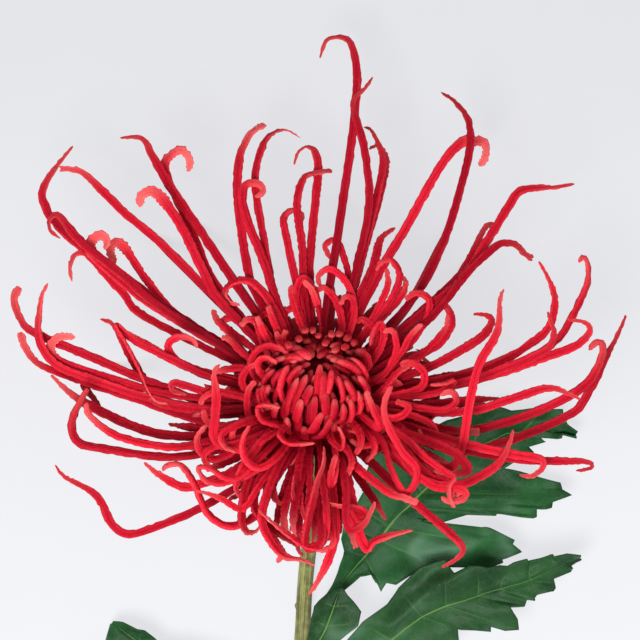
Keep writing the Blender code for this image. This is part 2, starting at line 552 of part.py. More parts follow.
def make_leaf(name, rows, heights, lift, wave, green):
    """Lobed blade on its stalk: five columns from edge to edge, both faces split alike."""
    columns = 5
    upper = []
    for i, (rib, one, other) in enumerate(rows):
        t = i / (len(rows) - 1)
        level = heights[0] + (heights[1] - heights[0]) * math.sin(min(1.0, t * 1.7) * math.pi / 2)
        level += (heights[2] - heights[1]) * max(0.0, t - 0.55) / 0.45
        opened = min(1.0, t * 4.0)
        for c in range(columns):
            edge = one if c < 2 else other
            out = abs(c - 2) / 2.0
            x = rib[0] + (edge[0] - rib[0]) * out
            y = rib[1] + (edge[1] - rib[1]) * out
            ripple = wave * math.sin(i * 1.9 + (0.8 if c < 2 else 2.4)) * out * out
            tilt = (lift[0] if c < 2 else lift[1]) * out
            upper.append(spot(x, y, (level + opened * (ripple + tilt)) * MM))
    lower = []
    for k, point in enumerate(upper):
        i, c = divmod(k, columns)
        stalk = max(0.0, 1.0 - 6.0 * i / (len(rows) - 1))
        thick = BLADE_THICKNESS + (PETIOLE_THICKNESS - BLADE_THICKNESS) * max(stalk, 0.35 if c == 2 else 0.0)
        lower.append(point - Vector((0.0, 0.0, thick)))
    total = len(upper)
    faces = []
    for i in range(len(rows) - 1):
        for c in range(columns - 1):
            a = i * columns + c
            b, d, e = a + 1, a + columns, a + columns + 1
            for x, y, z in (((a, d, e), (a, e, b)) if c < 2 else ((a, d, b), (b, d, e))):
                faces += [(x, y, z), (x + total, z + total, y + total)]
    rim = [i * columns for i in range(len(rows))]
    rim += [(len(rows) - 1) * columns + c for c in range(1, columns)]
    rim += [i * columns + columns - 1 for i in range(len(rows) - 2, -1, -1)]
    rim += [c for c in range(columns - 2, 0, -1)]
    for k, a in enumerate(rim):
        b = rim[(k + 1) % len(rim)]
        faces += [(a, b, b + total), (a, b + total, a + total)]
    leaf = mesh_object(name, upper + lower, faces)
    outward_normals(leaf)
    leaf.data.materials.append(green)
    return leaf


def centre_on_origin():
    """Move everything so that the box's centre is over the origin and its lowest point at zero."""
    everything = [obj for obj in bpy.data.objects if obj.type == "MESH"]
    spots = [vertex.co for obj in everything for vertex in obj.data.vertices]
    middle_x = (min(p.x for p in spots) + max(p.x for p in spots)) / 2
    middle_y = (min(p.y for p in spots) + max(p.y for p in spots)) / 2
    shift = Matrix.Translation((-middle_x, -middle_y, -min(p.z for p in spots)))
    for obj in everything:
        obj.data.transform(shift)


clear_scene()
make_bloom(material("floret_crimson", (0.62, 0.012, 0.03), 0.5))
make_calyx(material("calyx_green", (0.10, 0.20, 0.05), 0.6))
make_stem(material("stem_green", (0.22, 0.24, 0.07), 0.55))
leaf_green = material("leaf_green", (0.02, 0.09, 0.03), 0.55)
make_leaf("leaf_upper_right", LEAF_UPPER_RIGHT, (5.0, 8.0, 6.0), (1.5, 1.0), 0.9, leaf_green)
make_leaf("leaf_lower_right", LEAF_LOWER_RIGHT, (4.0, 15.0, 11.0), (3.0, -1.0), 1.0, leaf_green)
make_leaf("leaf_small", LEAF_SMALL, (6.15, 14.0, 14.5), (0.6, 0.8), 0.4, leaf_green)
make_leaf("leaf_lower_left", LEAF_LOWER_LEFT, (4.0, 9.0, 6.0), (1.5, -0.5), 0.8, leaf_green)
centre_on_origin()
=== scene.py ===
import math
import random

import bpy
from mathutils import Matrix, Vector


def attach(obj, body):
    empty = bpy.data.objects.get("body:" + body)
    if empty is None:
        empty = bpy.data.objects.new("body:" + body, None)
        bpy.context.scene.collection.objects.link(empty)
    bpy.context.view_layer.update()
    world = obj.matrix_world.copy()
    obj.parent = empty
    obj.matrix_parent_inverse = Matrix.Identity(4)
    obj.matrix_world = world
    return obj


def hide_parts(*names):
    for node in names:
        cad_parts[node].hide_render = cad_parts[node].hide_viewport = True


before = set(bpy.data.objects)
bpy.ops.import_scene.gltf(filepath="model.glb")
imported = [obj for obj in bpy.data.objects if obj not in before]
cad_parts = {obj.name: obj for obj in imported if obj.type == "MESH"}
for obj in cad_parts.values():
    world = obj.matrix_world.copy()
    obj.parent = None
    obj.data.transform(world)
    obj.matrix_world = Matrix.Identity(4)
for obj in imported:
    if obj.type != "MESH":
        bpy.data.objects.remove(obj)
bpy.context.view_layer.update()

# %% [markdown]
# A cut spider chrysanthemum, laid down on a pale table and seen from above. The solids of the flower are
# already loaded. Here each of them is dressed: the head gets fluted, hooked florets, the leaves get veins and
# cloth grain, the stem gets its ridges.

# %% [markdown]
# The routes of the florets are held as picture pixels, read one by one, so the first helper turns a pixel and a
# height above the table into a place in metres. A point nearer the viewer looks larger, so the scale shrinks
# with height. The same numbers made the solids, which keeps the fine pieces on top of the coarse ones.

# %% Picture pixels to metres
MM = 0.001
SPREAD, SPREAD_PIXELS, FRAME_PIXELS = 167.0 * MM, 618.0, 640.0
PIXEL = SPREAD / SPREAD_PIXELS
VIEW_HEIGHT, SCALE_HEIGHT = 900.0 * MM, 45.0 * MM
SHIFT = Vector((-0.3092, 68.5679, 0.0)) * MM


def spot(across, down, height):
    scale = PIXEL * (VIEW_HEIGHT - height) / (VIEW_HEIGHT - SCALE_HEIGHT)
    return Vector(((across - FRAME_PIXELS / 2) * scale, (FRAME_PIXELS / 2 - down) * scale, height)) + SHIFT


AXIS = Vector((0.0, 0.64, 0.768)).normalized()
DOME_ACROSS, DOME_DOWN, DOME_HEIGHT = 316.0, 392.0, 62.0
DOME_CENTRE = spot(DOME_ACROSS, DOME_DOWN, DOME_HEIGHT * MM)
DOME_RADIUS = 15.5 * MM
CORE_DROP = 4.0
CORE_CENTRE = DOME_CENTRE - AXIS * CORE_DROP * MM
CORE_RADIUS = 12.5 * MM
print("one pixel is", round(PIXEL * 1000, 3), "mm")

# %% [markdown]
# The camera comes next. The flower lies down, so the camera hangs over it and looks straight down, with a long
# lens as a product picture has. The field is worked out from the pixel size, not by eye.

# %% Camera over the table
SENSOR = 36.0
lens_data = bpy.data.cameras.new("camera")
lens_data.sensor_width = SENSOR
lens_data.lens = SENSOR * (VIEW_HEIGHT - SCALE_HEIGHT) / (FRAME_PIXELS * PIXEL)
camera = bpy.data.objects.new("camera", lens_data)
camera.location = Vector((0.0, 0.0, VIEW_HEIGHT)) + SHIFT
bpy.context.scene.collection.objects.link(camera)
bpy.context.scene.camera = camera
print("lens", round(lens_data.lens, 1), "mm")

# %% [markdown]
# Materials are written as sums. One small class wraps a socket, so that `a * 0.5 + b` adds the Math nodes, and
# one method adds any other node. Colours are mixed with Mix nodes, because a Math node would turn them grey.

# %% Sums on sockets


class Val:
    """A socket that can be used in a sum."""

    def __init__(self, kit, socket):
        self.kit, self.socket = kit, socket

    def __add__(self, other):
        return self.kit.math("ADD", self, other)

    def __sub__(self, other):
        return self.kit.math("SUBTRACT", self, other)

    def __rsub__(self, other):
        return self.kit.math("SUBTRACT", other, self)

    def __mul__(self, other):
        return self.kit.math("MULTIPLY", self, other)

    __radd__, __rmul__ = __add__, __mul__


print("sockets can be added")

# %% [markdown]
# A finish is painted in layers, as on a model: a ground colour first, then one colour after another where its
# mask is 1. The last step connects the skin, its roughness and its relief to the shader. Sockets that share a
# name on a node are given by number.

# %% A finish and its layers


class Finish:
    """One material being painted: its nodes, its skin colour so far and its shader."""

    def __init__(self, name, **constants):
        self.material = bpy.data.materials.new(name)
        self.material.use_nodes = True
        self.tree = self.material.node_tree
        self.shader = self.tree.nodes["Principled BSDF"]
        for key, value in constants.items():
            self.shader.inputs[key.replace("_", " ")].default_value = value

    def node(self, kind, settings=(), inputs=(), out=0):
        made = self.tree.nodes.new(kind)
        for key, value in dict(settings).items():
            setattr(made, key, value)
        for key, value in dict(inputs).items():
            if isinstance(value, Val):
                self.tree.links.new(value.socket, made.inputs[key])
            else:
                made.inputs[key].default_value = value
        return Val(self, made.outputs[out])

    def math(self, operation, a, b=0.0):
        return self.node("ShaderNodeMath", {"operation": operation}, {0: a, 1: b})

    def mix(self, factor, low, high):
        """Colours are given as three numbers or as a value."""
        low, high = ((*c, 1.0) if isinstance(c, tuple) else c for c in (low, high))
        return self.node("ShaderNodeMix", {"data_type": "RGBA"}, {0: factor, 6: low, 7: high}, out=2)

    def band(self, value, start, end):
        """0 below start, 1 above end, smooth between."""
        settings = {"interpolation_type": "SMOOTHSTEP"}
        return self.node("ShaderNodeMapRange", settings, {0: value, 1: start, 2: end, 3: 0.0, 4: 1.0})

    def place(self):
        return self.node("ShaderNodeTexCoord", out="Object")

    def noise(self, scale, detail=3.0, place=None):
        inputs = {"Vector": place or self.place(), "Scale": scale, "Detail": detail}
        return self.node("ShaderNodeTexNoise", (), inputs)

    def split(self, vector):
        read = self.tree.nodes.new("ShaderNodeSeparateXYZ")
        self.tree.links.new(vector.socket, read.inputs[0])
        return [Val(self, socket) for socket in read.outputs]

    def parts(self, name):
        """The three numbers of a vector attribute."""
        return self.split(self.node("ShaderNodeAttribute", {"attribute_name": name}, out="Vector"))

    def stretched(self, x, y, z):
        return self.node("ShaderNodeCombineXYZ", (), {0: x, 1: y, 2: z})

    def ground(self, factor, low, high):
        self.skin = self.mix(factor, low, high)

    def paint(self, cover, colour):
        self.skin = self.mix(cover, self.skin, colour)

    def feed(self, key, value):
        self.tree.links.new(value.socket, self.shader.inputs[key])

    def complete(self, roughness, relief, strength, distance=0.0003):
        bump = {"Height": relief, "Strength": strength, "Distance": distance}
        self.feed("Base Color", self.skin)
        self.feed("Roughness", roughness)
        self.feed("Normal", self.node("ShaderNodeBump", (), bump))
        return self


print("finishes can be painted")

# %% [markdown]
# The table is a plain pale sheet that isn't part of the flower. It glows a little, a painted light as the sheet
# of a light tent glows, which keeps the shadows soft, and more at the near edge, a painted brightening there.

# %% Table
bpy.ops.object.select_all(action="DESELECT")
bpy.ops.mesh.primitive_plane_add(size=4.0, location=(0.0, 0.0, 0.0))
table = bpy.context.object
table.name = "table"
bpy.ops.object.mode_set(mode="EDIT")
bpy.ops.mesh.subdivide(number_cuts=3)
bpy.ops.object.mode_set(mode="OBJECT")
paper = Finish("table_white", Roughness=0.9, Emission_Strength=1.0)
paper.feed("Base Color", paper.mix(paper.noise(60.0), (0.115, 0.116, 0.118), (0.125, 0.126, 0.128)))
# Painted light: these emission colours make the table glow, more at the near edge than at the far one.
GLOW_NEAR, GLOW_FAR = (0.724, 0.730, 0.760), (0.584, 0.588, 0.614)
upwards = paper.band(paper.split(paper.place())[1], -0.06, 0.20)
paper.feed("Emission Color", paper.mix(upwards, GLOW_NEAR, GLOW_FAR))
table.data.materials.append(paper.material)
print("table laid")

# %% [markdown]
# Two round lamps stand in for the soft boxes of a studio. The stronger one is at the near left, and the weaker
# one, at the far right, opens the shadows. A pale room fills in the rest.

# %% Light


def soft_light(name, place, aim, size, power):
    lamp = bpy.data.lights.new(name, "AREA")
    lamp.shape, lamp.size, lamp.energy = "DISK", size, power
    holder = bpy.data.objects.new(name, lamp)
    holder.location = place
    holder.rotation_euler = (Vector(aim) - Vector(place)).to_track_quat("-Z", "Y").to_euler()
    bpy.context.scene.collection.objects.link(holder)


BLOOM_MIDDLE = (0.0, 0.05, 0.03)
soft_light("key", (-0.28, -0.35, 1.15), BLOOM_MIDDLE, 0.6, 18.0)
soft_light("fill", (0.9, 0.5, 1.0), BLOOM_MIDDLE, 1.2, 5.5)
world = bpy.data.worlds.new("studio")
world.use_nodes = True
room = world.node_tree.nodes["Background"].inputs
room["Color"].default_value = (0.93, 0.95, 1.0, 1.0)
room["Strength"].default_value = 0.30
bpy.context.scene.world = world
bpy.context.scene.view_settings.view_transform = "Standard"
print("two lights and a pale room")

# %% [markdown]
# The petals of this flower are called florets: each is a long narrow quill with a groove along its faces. One
# blank is modelled straight along X, and every floret is a copy of it, bent along its own route. A blank
# starts as a ring, whose points are pushed into the grooved outline, and the ring is extruded and resized
# again and again. Sculpting each floret by hand would give the same shape at a hundred times the work.

# %% Straight quill
GROOVE_FROM, GROOVE_SPAN = 0.55, 0.45


def only(obj):
    bpy.ops.object.select_all(action="DESELECT")
    obj.select_set(True)
    bpy.context.view_layer.objects.active = obj


def face_outwards():
    bpy.ops.mesh.select_all(action="SELECT")
    bpy.ops.mesh.normals_make_consistent(inside=False)
    bpy.ops.object.mode_set(mode="OBJECT")


def blank(name, sides, profile, groove=0.55, flat=0.72):
    """A quill along X of length 1 and radius about 0.5. The profile rows are place, width, thickness."""
    bpy.ops.object.select_all(action="DESELECT")
    turn = (0.0, math.pi / 2, 0.0)
    bpy.ops.mesh.primitive_circle_add(vertices=sides, radius=0.5, fill_type="NGON", rotation=turn)
    made = bpy.context.object
    made.name = name
    bpy.ops.object.transform_apply(location=True, rotation=True, scale=True)
    angles = [math.atan2(v.co.z, v.co.y) for v in made.data.vertices]
    for vertex, angle in zip(made.data.vertices, angles):
        dent = 1.0 - groove * max(0.0, abs(math.sin(angle)) - GROOVE_FROM) / GROOVE_SPAN
        vertex.co.z *= dent * flat
    ring = [(v.co.y, v.co.z) for v in made.data.vertices]
    at, width, thick = profile[0]
    for vertex, (y, z) in zip(made.data.vertices, ring):
        vertex.co = (at, y * width, z * thick)
    bpy.ops.object.mode_set(mode="EDIT")
    bpy.ops.mesh.select_all(action="SELECT")
    for before, row in zip(profile, profile[1:]):
        step = (row[0] - before[0], 0.0, 0.0)
        bpy.ops.mesh.extrude_region_move(TRANSFORM_OT_translate={"value": step})
        grow = (1.0, row[1] / before[1], row[2] / before[2])
        bpy.ops.transform.resize(value=grow, center_override=(row[0], 0.0, 0.0))
    face_outwards()
    fibre = made.data.attributes.new("fibre", "FLOAT_VECTOR", "POINT")
    for vertex in made.data.vertices:
        around = math.atan2(vertex.co.z, vertex.co.y)
        fibre.data[vertex.index].vector = (vertex.co.x, math.cos(around), math.sin(around))
    made.hide_render = True
    return made


print("a quill has", GROOVE_SPAN, "of its height grooved")

# %% [markdown]
# The kinds of floret differ in their tips: pointed, spooned and pinched, frayed, frilled along the edges, or
# blunt where the floret is hooked. A plain one with few faces fills the shade, and a club stands for the short
# florets of the dome. Rows lie closer towards the tip, where the shape changes most.

# %% Rows of a quill
TIP_FROM, CAP_FROM, FRILL_FROM = 0.80, 0.975, 0.80


def quill_rows(count, tip_width, tip_thick, pinch=0.0):
    """Rows for a floret: narrow root, full middle, and a tip of the asked width."""
    rows = []
    for k in range(count + 1):
        t = 1.0 - (1.0 - k / count) ** 1.25
        body = 0.72 + 0.28 * math.sin(min(1.0, t / 0.6) * math.pi / 2)
        body = body - pinch * math.exp(-((t - 0.88) / 0.05) ** 2)
        near = max(0.0, (t - TIP_FROM) / 0.20)
        ease = near * near * (3 - 2 * near)
        cap = max(0.2, math.sqrt(max(0.0, 1.0 - (max(0.0, t - CAP_FROM) / 0.025) ** 2)))
        rows.append((t, (body + (tip_width - body) * ease) * cap, (body + (tip_thick - body) * ease) * cap))
    return rows


def frilled_rows(count):
    """The last fifth of the quill is broad and toothed along its edges."""
    rows = []
    for k, (t, wide, thick) in enumerate(quill_rows(count, 0.7, 0.4)):
        frill = max(0.0, min(1.0, (t - FRILL_FROM) / 0.06))
        rows.append((t, wide * (1.0 + frill * (0.30 + (0.20 if k % 2 else -0.12))), thick))
    return rows


print("a frilled quill has", len(frilled_rows(84)), "rows")

# %% Blanks of all kinds
pointed = blank("blank_pointed", 12, quill_rows(80, 0.40, 0.34))
spooned = blank("blank_spooned", 12, quill_rows(80, 0.9, 0.4, pinch=0.2), groove=0.42)
frayed = blank("blank_frayed", 12, quill_rows(80, 0.6, 0.4))
frilled = blank("blank_frilled", 12, frilled_rows(84), groove=0.42)
hooked = blank("blank_hooked", 12, quill_rows(64, 0.72, 0.66), groove=0.26, flat=0.86)
plain = blank("blank_plain", 8, quill_rows(14, 0.45, 0.35), groove=0.35, flat=0.75)
CLUB_ROWS = [(0.0, 0.75), (0.2, 0.8), (0.4, 0.88), (0.6, 0.97), (0.75, 1.05), (0.86, 1.04), (0.93, 0.88),
             (0.975, 0.6), (1.0, 0.25)]
club = blank("blank_club", 10, [(at, size, size) for at, size in CLUB_ROWS], groove=0.16, flat=0.9)
BLANKS = [pointed, spooned, frayed, frilled, hooked, plain, club]
print("blanks:", [(b.name, len(b.data.polygons)) for b in BLANKS])

# %% [markdown]
# The spooned and frayed tips are cut after the quill is made. The points of the last rings are moved by their
# place round the outline: the middle is drawn back, which leaves two horns, as on the torn tips of the flower.

# %% Torn tips
TEAR_FROM, TEAR_SPAN = 0.97, 0.03
for tip_blank, depth in ((spooned, 0.006), (frayed, 0.02)):
    for vertex in tip_blank.data.vertices:
        if vertex.co.x > TEAR_FROM:
            middle = 1.0 - min(1.0, abs(vertex.co.y) / 0.28)
            vertex.co.x -= depth * middle * (vertex.co.x - TEAR_FROM) / TEAR_SPAN
            vertex.co.y *= 1.0 + 0.15 * (1.0 - middle)
print("two tips torn")

# %% [markdown]
# To bend a blank, its copy gets a Curve modifier, whose curve is the floret's route, and the modifier is
# applied. The curve's radius, the same all along, sets the quill's width. A smooth route is drawn through the
# few points that were read off the picture, as a bent wire passes through nails.

# %% Bend a copy along a route


def smooth_route(points, per_span=12):
    ends = [points[0] * 2 - points[1]] + list(points) + [points[-1] * 2 - points[-2]]
    route = []
    for a, b, c, d in zip(ends, ends[1:], ends[2:], ends[3:]):
        for j in range(per_span):
            t = j / per_span
            route.append(0.5 * (2 * b + (c - a) * t + (2 * a - 5 * b + 4 * c - d) * t * t
                                + (3 * b - a - 3 * c + d) * t * t * t))
    route.append(points[-1].copy())
    return route


def bend(source, route, width, shade, tilt=0.0):
    """A copy of the blank laid along a route that starts at the root. Width is in metres."""
    curve = bpy.data.curves.new("route", "CURVE")
    curve.dimensions = "3D"
    curve.twist_mode = "MINIMUM"
    curve.use_stretch = curve.use_deform_bounds = curve.use_radius = True
    spline = curve.splines.new("POLY")
    spline.points.add(len(route) - 1)
    for k, point in enumerate(route):
        spline.points[k].co = (*point, 1.0)
        spline.points[k].radius = width
        spline.points[k].tilt = tilt
    wire = bpy.data.objects.new("wire", curve)
    bpy.context.scene.collection.objects.link(wire)
    made = source.copy()
    made.data = source.data.copy()
    made.hide_render = False
    bpy.context.scene.collection.objects.link(made)
    only(made)
    follow = made.modifiers.new("follow", "CURVE")
    follow.object, follow.deform_axis = wire, "POS_X"
    bpy.ops.object.modifier_apply(modifier=follow.name)
    bpy.data.objects.remove(wire, do_unlink=True)
    bpy.data.curves.remove(curve)
    tone_and_shade = made.data.attributes.new("tone_and_shade", "FLOAT_VECTOR", "POINT")
    tone_and_shade.data.foreach_set("vector", [c for _ in made.data.vertices for c in shade])
    return made


print("a route of two points gets", len(smooth_route([AXIS, AXIS * 2])), "points")

# %% [markdown]
# Each group of florets is joined into one piece, which stands for the solid head. Two cloud textures, one broad
# and one fine, push its surface a little in and out, so that no quill is as even as a machine would draw it.

# %% Join, roughen and dress
UNEVENNESS = ((3.5, 0.25), (0.8, 0.8))  # size of the cloud in mm, share of the roughness


def gather(name, pieces, finish, node, rough=0.0):
    """Join the pieces into one, roughen and smooth it, dress it and set it on the solid it stands for."""
    bpy.ops.object.select_all(action="DESELECT")
    for piece in pieces:
        piece.select_set(True)
    bpy.context.view_layer.objects.active = pieces[0]
    if len(pieces) > 1:
        bpy.ops.object.join()
    made = bpy.context.object
    made.name = name
    only(made)
    for size, share in UNEVENNESS if rough else ():
        cloud = bpy.data.textures.new("unevenness", "CLOUDS")
        cloud.noise_scale = size * MM
        uneven = made.modifiers.new("unevenness", "DISPLACE")
        uneven.texture, uneven.texture_coords, uneven.strength = cloud, "LOCAL", rough * share
        bpy.ops.object.modifier_apply(modifier=uneven.name)
    bpy.ops.object.shade_smooth()
    made.data.materials.clear()
    made.data.materials.append(finish.material)
    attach(made, "root")
    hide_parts(node)
    print(name, len(made.data.polygons), "faces")


print("bending tools ready")

# %% [markdown]
# These are the routes, one floret a line: its layer, then its points from the tip inwards. Layers -1 and 0 are
# nearest the viewer and 4 is farthest back. Most are the same points that made the solid head. Rows of plain
# numbers are the easiest to read and to correct, so small readers turn them into lists.

# %% Readers for the rows


def read_points(text):
    """Points parted by spaces, as in 73,146 59,163."""
    return [tuple(float(number) for number in point.split(",")) for point in text.split()]


def read_rows(text):
    """Rows of points parted by a bar."""
    return [read_points(row) for row in text.split("|")]


def read_florets(text):
    """One floret a line: its layer and its points."""
    lines = [line.split(maxsplit=1) for line in text.strip().splitlines()]
    return [(int(layer), read_points(points)) for layer, points in lines]


print("readers ready:", read_florets("3 73,146 59,163"))

# %% Routes above the dome
UPPER_LEFT_FLORETS = read_florets("""
3 73,146 59,163 47,180 42,194 46,208 53,220 78,245 127,278 173,312
2 59,169 69,169 86,175 122,210 163,245 204,286 222,303
1 60,238 51,231 49,222 54,215 61,218 82,243 122,275 167,312
3 72,281 70,267 75,255 84,253 92,259 122,292 151,320
1 105,249 107,241 102,235 94,238 90,247 100,262 140,296 180,322
2 115,264 110,251 114,243 124,247 143,275 169,308 195,328
2 120,138 135,137 145,141 153,157 175,194 206,239 237,286
1 188,172 190,161 182,150 171,155 165,165 171,186 196,241 220,290
0 140,207 141,196 151,191 161,197 182,228 204,273 222,303
1 265,124 253,131 245,143 239,161 238,200 247,265 257,296
2 301,138 286,130 273,133 263,145 255,180 263,235 273,290 280,320
0 255,197 263,192 259,184 247,184 242,196 247,220 265,265 275,296
2 294,165 298,153 306,147 315,152 318,173 312,235 310,280
1 332,171 320,172 304,178 297,204 302,245 304,285
0 302,222 301,214 292,210 284,218 286,235 296,282 302,310
0 239,305 229,302 224,294 231,284 243,280 257,286 276,312
""")
UPPER_RIGHT_FLORETS = read_florets("""
3 320,58 326,41 338,37 349,41 355,57 357,85 350,153 336,245 326,306
1 373,77 365,88 355,98 354,110 365,153 369,204 357,265 345,310
2 364,127 371,130 378,143 383,163 375,204 355,282
0 395,228 383,236 378,247 372,270 358,300
2 441,92 455,102 468,120 470,147 459,194 440,251 412,300
4 479,166 485,157 485,143 475,141 461,143 440,167 404,231 380,272
2 575,184 555,187 536,188 520,191 510,204 487,241 461,280 430,306
3 495,224 487,226 481,235 468,262 445,290
1 533,259 524,253 516,245 506,243 495,247 467,273 438,310 410,335
""")
print(len(UPPER_LEFT_FLORETS + UPPER_RIGHT_FLORETS), "florets above the dome")

# %% Routes beside the dome
RIGHT_FLORETS = read_florets("""
2 539,262 550,282 555,302 549,327 531,343 507,358 460,375
3 579,263 583,257 588,265 587,284 577,307 557,340 520,362 470,380
2 567,319 583,322 590,330 577,345 540,359 490,376 440,388
0 548,312 551,323 554,334 546,350 510,366 455,384
3 626,315 619,332 604,361 583,402 563,418 504,442 450,450
2 589,350 594,344 601,342 602,356 585,385 540,410 483,428 430,432
1 580,399 571,395 549,388 514,398 475,410 425,412
-1 504,289 500,300 497,332 479,365 469,406 462,446 450,468 422,458
0 434,471 450,474 467,471 462,460 440,446
1 473,314 485,315 492,321 480,338 440,362 405,376
2 576,471 591,468 588,462 561,461 514,459 451,446 400,430
1 519,475 532,476 542,468 539,459 500,452 450,440 400,424
0 513,430 510,442 502,459 489,471 459,485 425,480 395,455
2 500,398 470,400 430,404 390,404
""")
LEFT_FLORETS = read_florets("""
2 20,287 14,299 20,318 33,332 82,353 143,379 204,402 250,410
1 48,283 41,300 39,338 57,365 98,381 150,398 210,408
3 20,332 26,349 41,365 82,381 133,398 204,422 250,425
2 75,337 59,337 50,349 62,362 110,378 180,396
3 100,319 114,326 133,361 159,398 200,412
1 116,324 131,336 171,359 212,377 250,388
0 198,347 190,338 175,338 168,349 184,365 224,377 262,385
0 186,395 173,391 175,383 204,391 240,396
2 145,398 165,405 205,410 250,408
-1 220,364 214,373 216,395 215,418 214,436 226,446 258,436
2 88,388 80,402 72,422 78,442 106,449 163,457 204,453 250,440
1 86,402 90,416 118,436 168,447 204,442 250,430
2 51,375 73,395 106,414 151,432 198,436 245,425
3 103,417 98,404 84,384 110,386 160,404 215,415
1 55,465 65,477 96,495 112,524 130,534 163,524 204,506 255,475 285,445
2 144,463 163,477 184,487 204,483 235,470 265,445
0 163,471 167,466 180,465 194,483 208,514 230,526 257,514 275,480 290,450
""")
print(len(RIGHT_FLORETS + LEFT_FLORETS), "florets beside the dome")

# %% Routes below the dome and round it
LOWER_FLORETS = read_florets("""
0 442,567 455,560 463,549 451,534 418,506 389,481 365,455
-1 418,503 405,498 392,494 375,482 352,462 338,440
1 463,495 450,490 436,480 415,462 392,436
1 452,508 452,492 445,478 420,452 395,424
0 413,530 395,534 375,541 367,549 358,530 345,490 335,450
-1 375,502 371,511 364,524 351,530 346,520 346,490 340,452
0 322,502 340,506 360,509 366,518 358,518 350,490 345,455
1 309,595 320,577 331,553 336,531 334,500 328,460
1 277,563 282,552 272,538 262,520 268,490 285,450
0 315,565 302,560 285,556 270,540 262,516 272,480 290,445
1 300,548 285,538 262,520 254,500 268,462 290,430
-1 324,446 324,462 318,479 313,500 308,521 305,545 315,546 322,530
0 305,520 300,500 298,475 303,445
0 240,500 236,486 246,462 270,432
1 285,505 276,500 272,480 285,446
""")
HOOKED_FLORETS = read_florets("""
0 255,381 248,392 248,413 256,425 268,424 285,415
0 266,399 259,389 261,403 272,422 288,432 302,425
-1 280,408 268,405 258,407 262,420 285,425
0 259,364 249,367 242,380 250,395 275,400
1 268,347 259,346 251,356 262,375 285,385
1 276,356 263,352 254,358 262,378 285,390
-1 315,443 302,444 288,443 280,434 292,420 305,412
-1 338,426 343,438 341,448 332,440 328,420
0 348,430 358,434 355,442 340,425
0 369,432 381,431 384,422 368,412 350,405
-1 392,386 385,400 386,420 402,451 416,467 414,485 404,492 392,470 378,435
0 400,364 412,363 424,373 420,388 395,395 365,398
-1 395,401 408,406 402,416 386,417 370,405
-1 383,331 393,332 396,350 386,372 368,385
0 356,323 362,319 373,328 374,345 360,362
0 405,300 416,293 429,300 426,320 408,345 382,366
1 430,299 441,301 452,320 440,343 415,357 388,372
1 448,315 446,328 430,347 402,372 380,380
0 375,271 382,262 392,261 400,276 392,298 375,322 358,345
1 402,276 406,284 398,300 378,322 358,340
0 331,259 325,247 332,240 340,246 348,275 350,310 344,335
-1 319,285 319,275 331,269 346,282 354,305 350,330
-1 317,290 325,288 337,303 342,325 338,342
-1 340,305 345,297 353,300 354,318 346,340
0 302,276 310,285 318,306 322,330
0 200,405 205,396 220,392 250,398 280,400
0 212,470 204,458 212,448 240,438 275,420
-1 236,452 224,446 222,434 240,424 275,412
0 260,470 248,462 250,450 268,436 290,422
0 272,365 262,340 258,322 268,314 282,330 295,352
0 285,325 286,312 296,308 304,322 308,345
1 230,335 222,326 228,318 248,326 280,355
0 440,395 452,392 456,402 440,410 395,404
-1 346,478 352,462 346,448 336,436 330,418
""")
print(len(LOWER_FLORETS + HOOKED_FLORETS), "florets below the dome and hooks round it")

# %% [markdown]
# More hooks near the dome and more florets at the foot of the head are only in this dressed flower, as the
# solids have to stay small. A few florets droop to the table, hidden under others, with a height in mm as the
# third number of each point.

# %% Routes of the dressed flower alone
NEAR_HOOKS = read_florets("""
-1 258,510 272,522 290,536 304,545 316,547 325,538 327,518 323,480 320,450
0 195,491 206,493 222,499 239,509 248,504 259,486 282,454
2 369,149 377,146 385,155 385,172 379,200 367,242 354,290
-1 291,356 279,348 266,346 256,352 250,364 256,378 276,388
-1 277,363 266,358 258,362 262,374 284,384
-1 287,330 283,338 286,350 298,366
-1 279,409 268,404 264,394 270,388 290,396
-1 356,455 361,442 358,430 346,418 332,412
0 366,462 374,452 372,438 356,424 336,414
-1 441,496 447,501 458,501 466,495 461,489 449,488 434,486 414,472 392,448
-1 455,508 450,500 449,486 454,478 446,472 424,456 394,430
0 313,548 324,550 333,544 333,532 329,512 325,480 322,452
-1 167,404 157,402 149,393 139,370 127,346 114,324 121,330 138,343 172,359 212,377
-1 257,316 261,326 268,340 285,362
-1 268,305 273,320 281,338 292,360
-1 276,331 279,341 286,352 298,368
0 240,326 247,320 257,321 267,334 284,360
1 213,310 218,321 230,331 255,350 285,376
0 221,337 231,341 244,354 270,374
0 213,373 228,369 250,369 280,386
0 203,409 207,421 220,427 250,420 285,410
0 206,425 197,438 202,453 216,459 240,447 278,422
0 238,422 232,436 237,449 252,448 284,424
-1 250,425 243,440 245,458 258,468 276,458 298,430
0 197,467 204,479 218,483 245,476 275,456 298,430
-1 197,466 211,469 226,478 240,476 262,456
-1 422,324 411,335 402,351 385,372 360,386
-1 370,346 373,334 380,324 384,336 376,356 360,374
-1 366,391 372,406 381,427 372,424 352,408
-1 336,455 332,470 331,486 336,470 334,440
0 294,476 293,494 300,510 309,498 310,460
-1 291,285 292,297 298,316 306,340
-1 303,280 312,290 318,306 314,290 302,278 296,300 308,338
0 430,385 443,384 455,380 440,392 400,398
0 386,268 388,284 382,300 366,330 350,352
0 410,366 398,372 386,386 372,398 350,402
0 350,440 362,446 378,440 366,426 345,412
1 418,430 432,437 434,428 420,418 385,410
""")
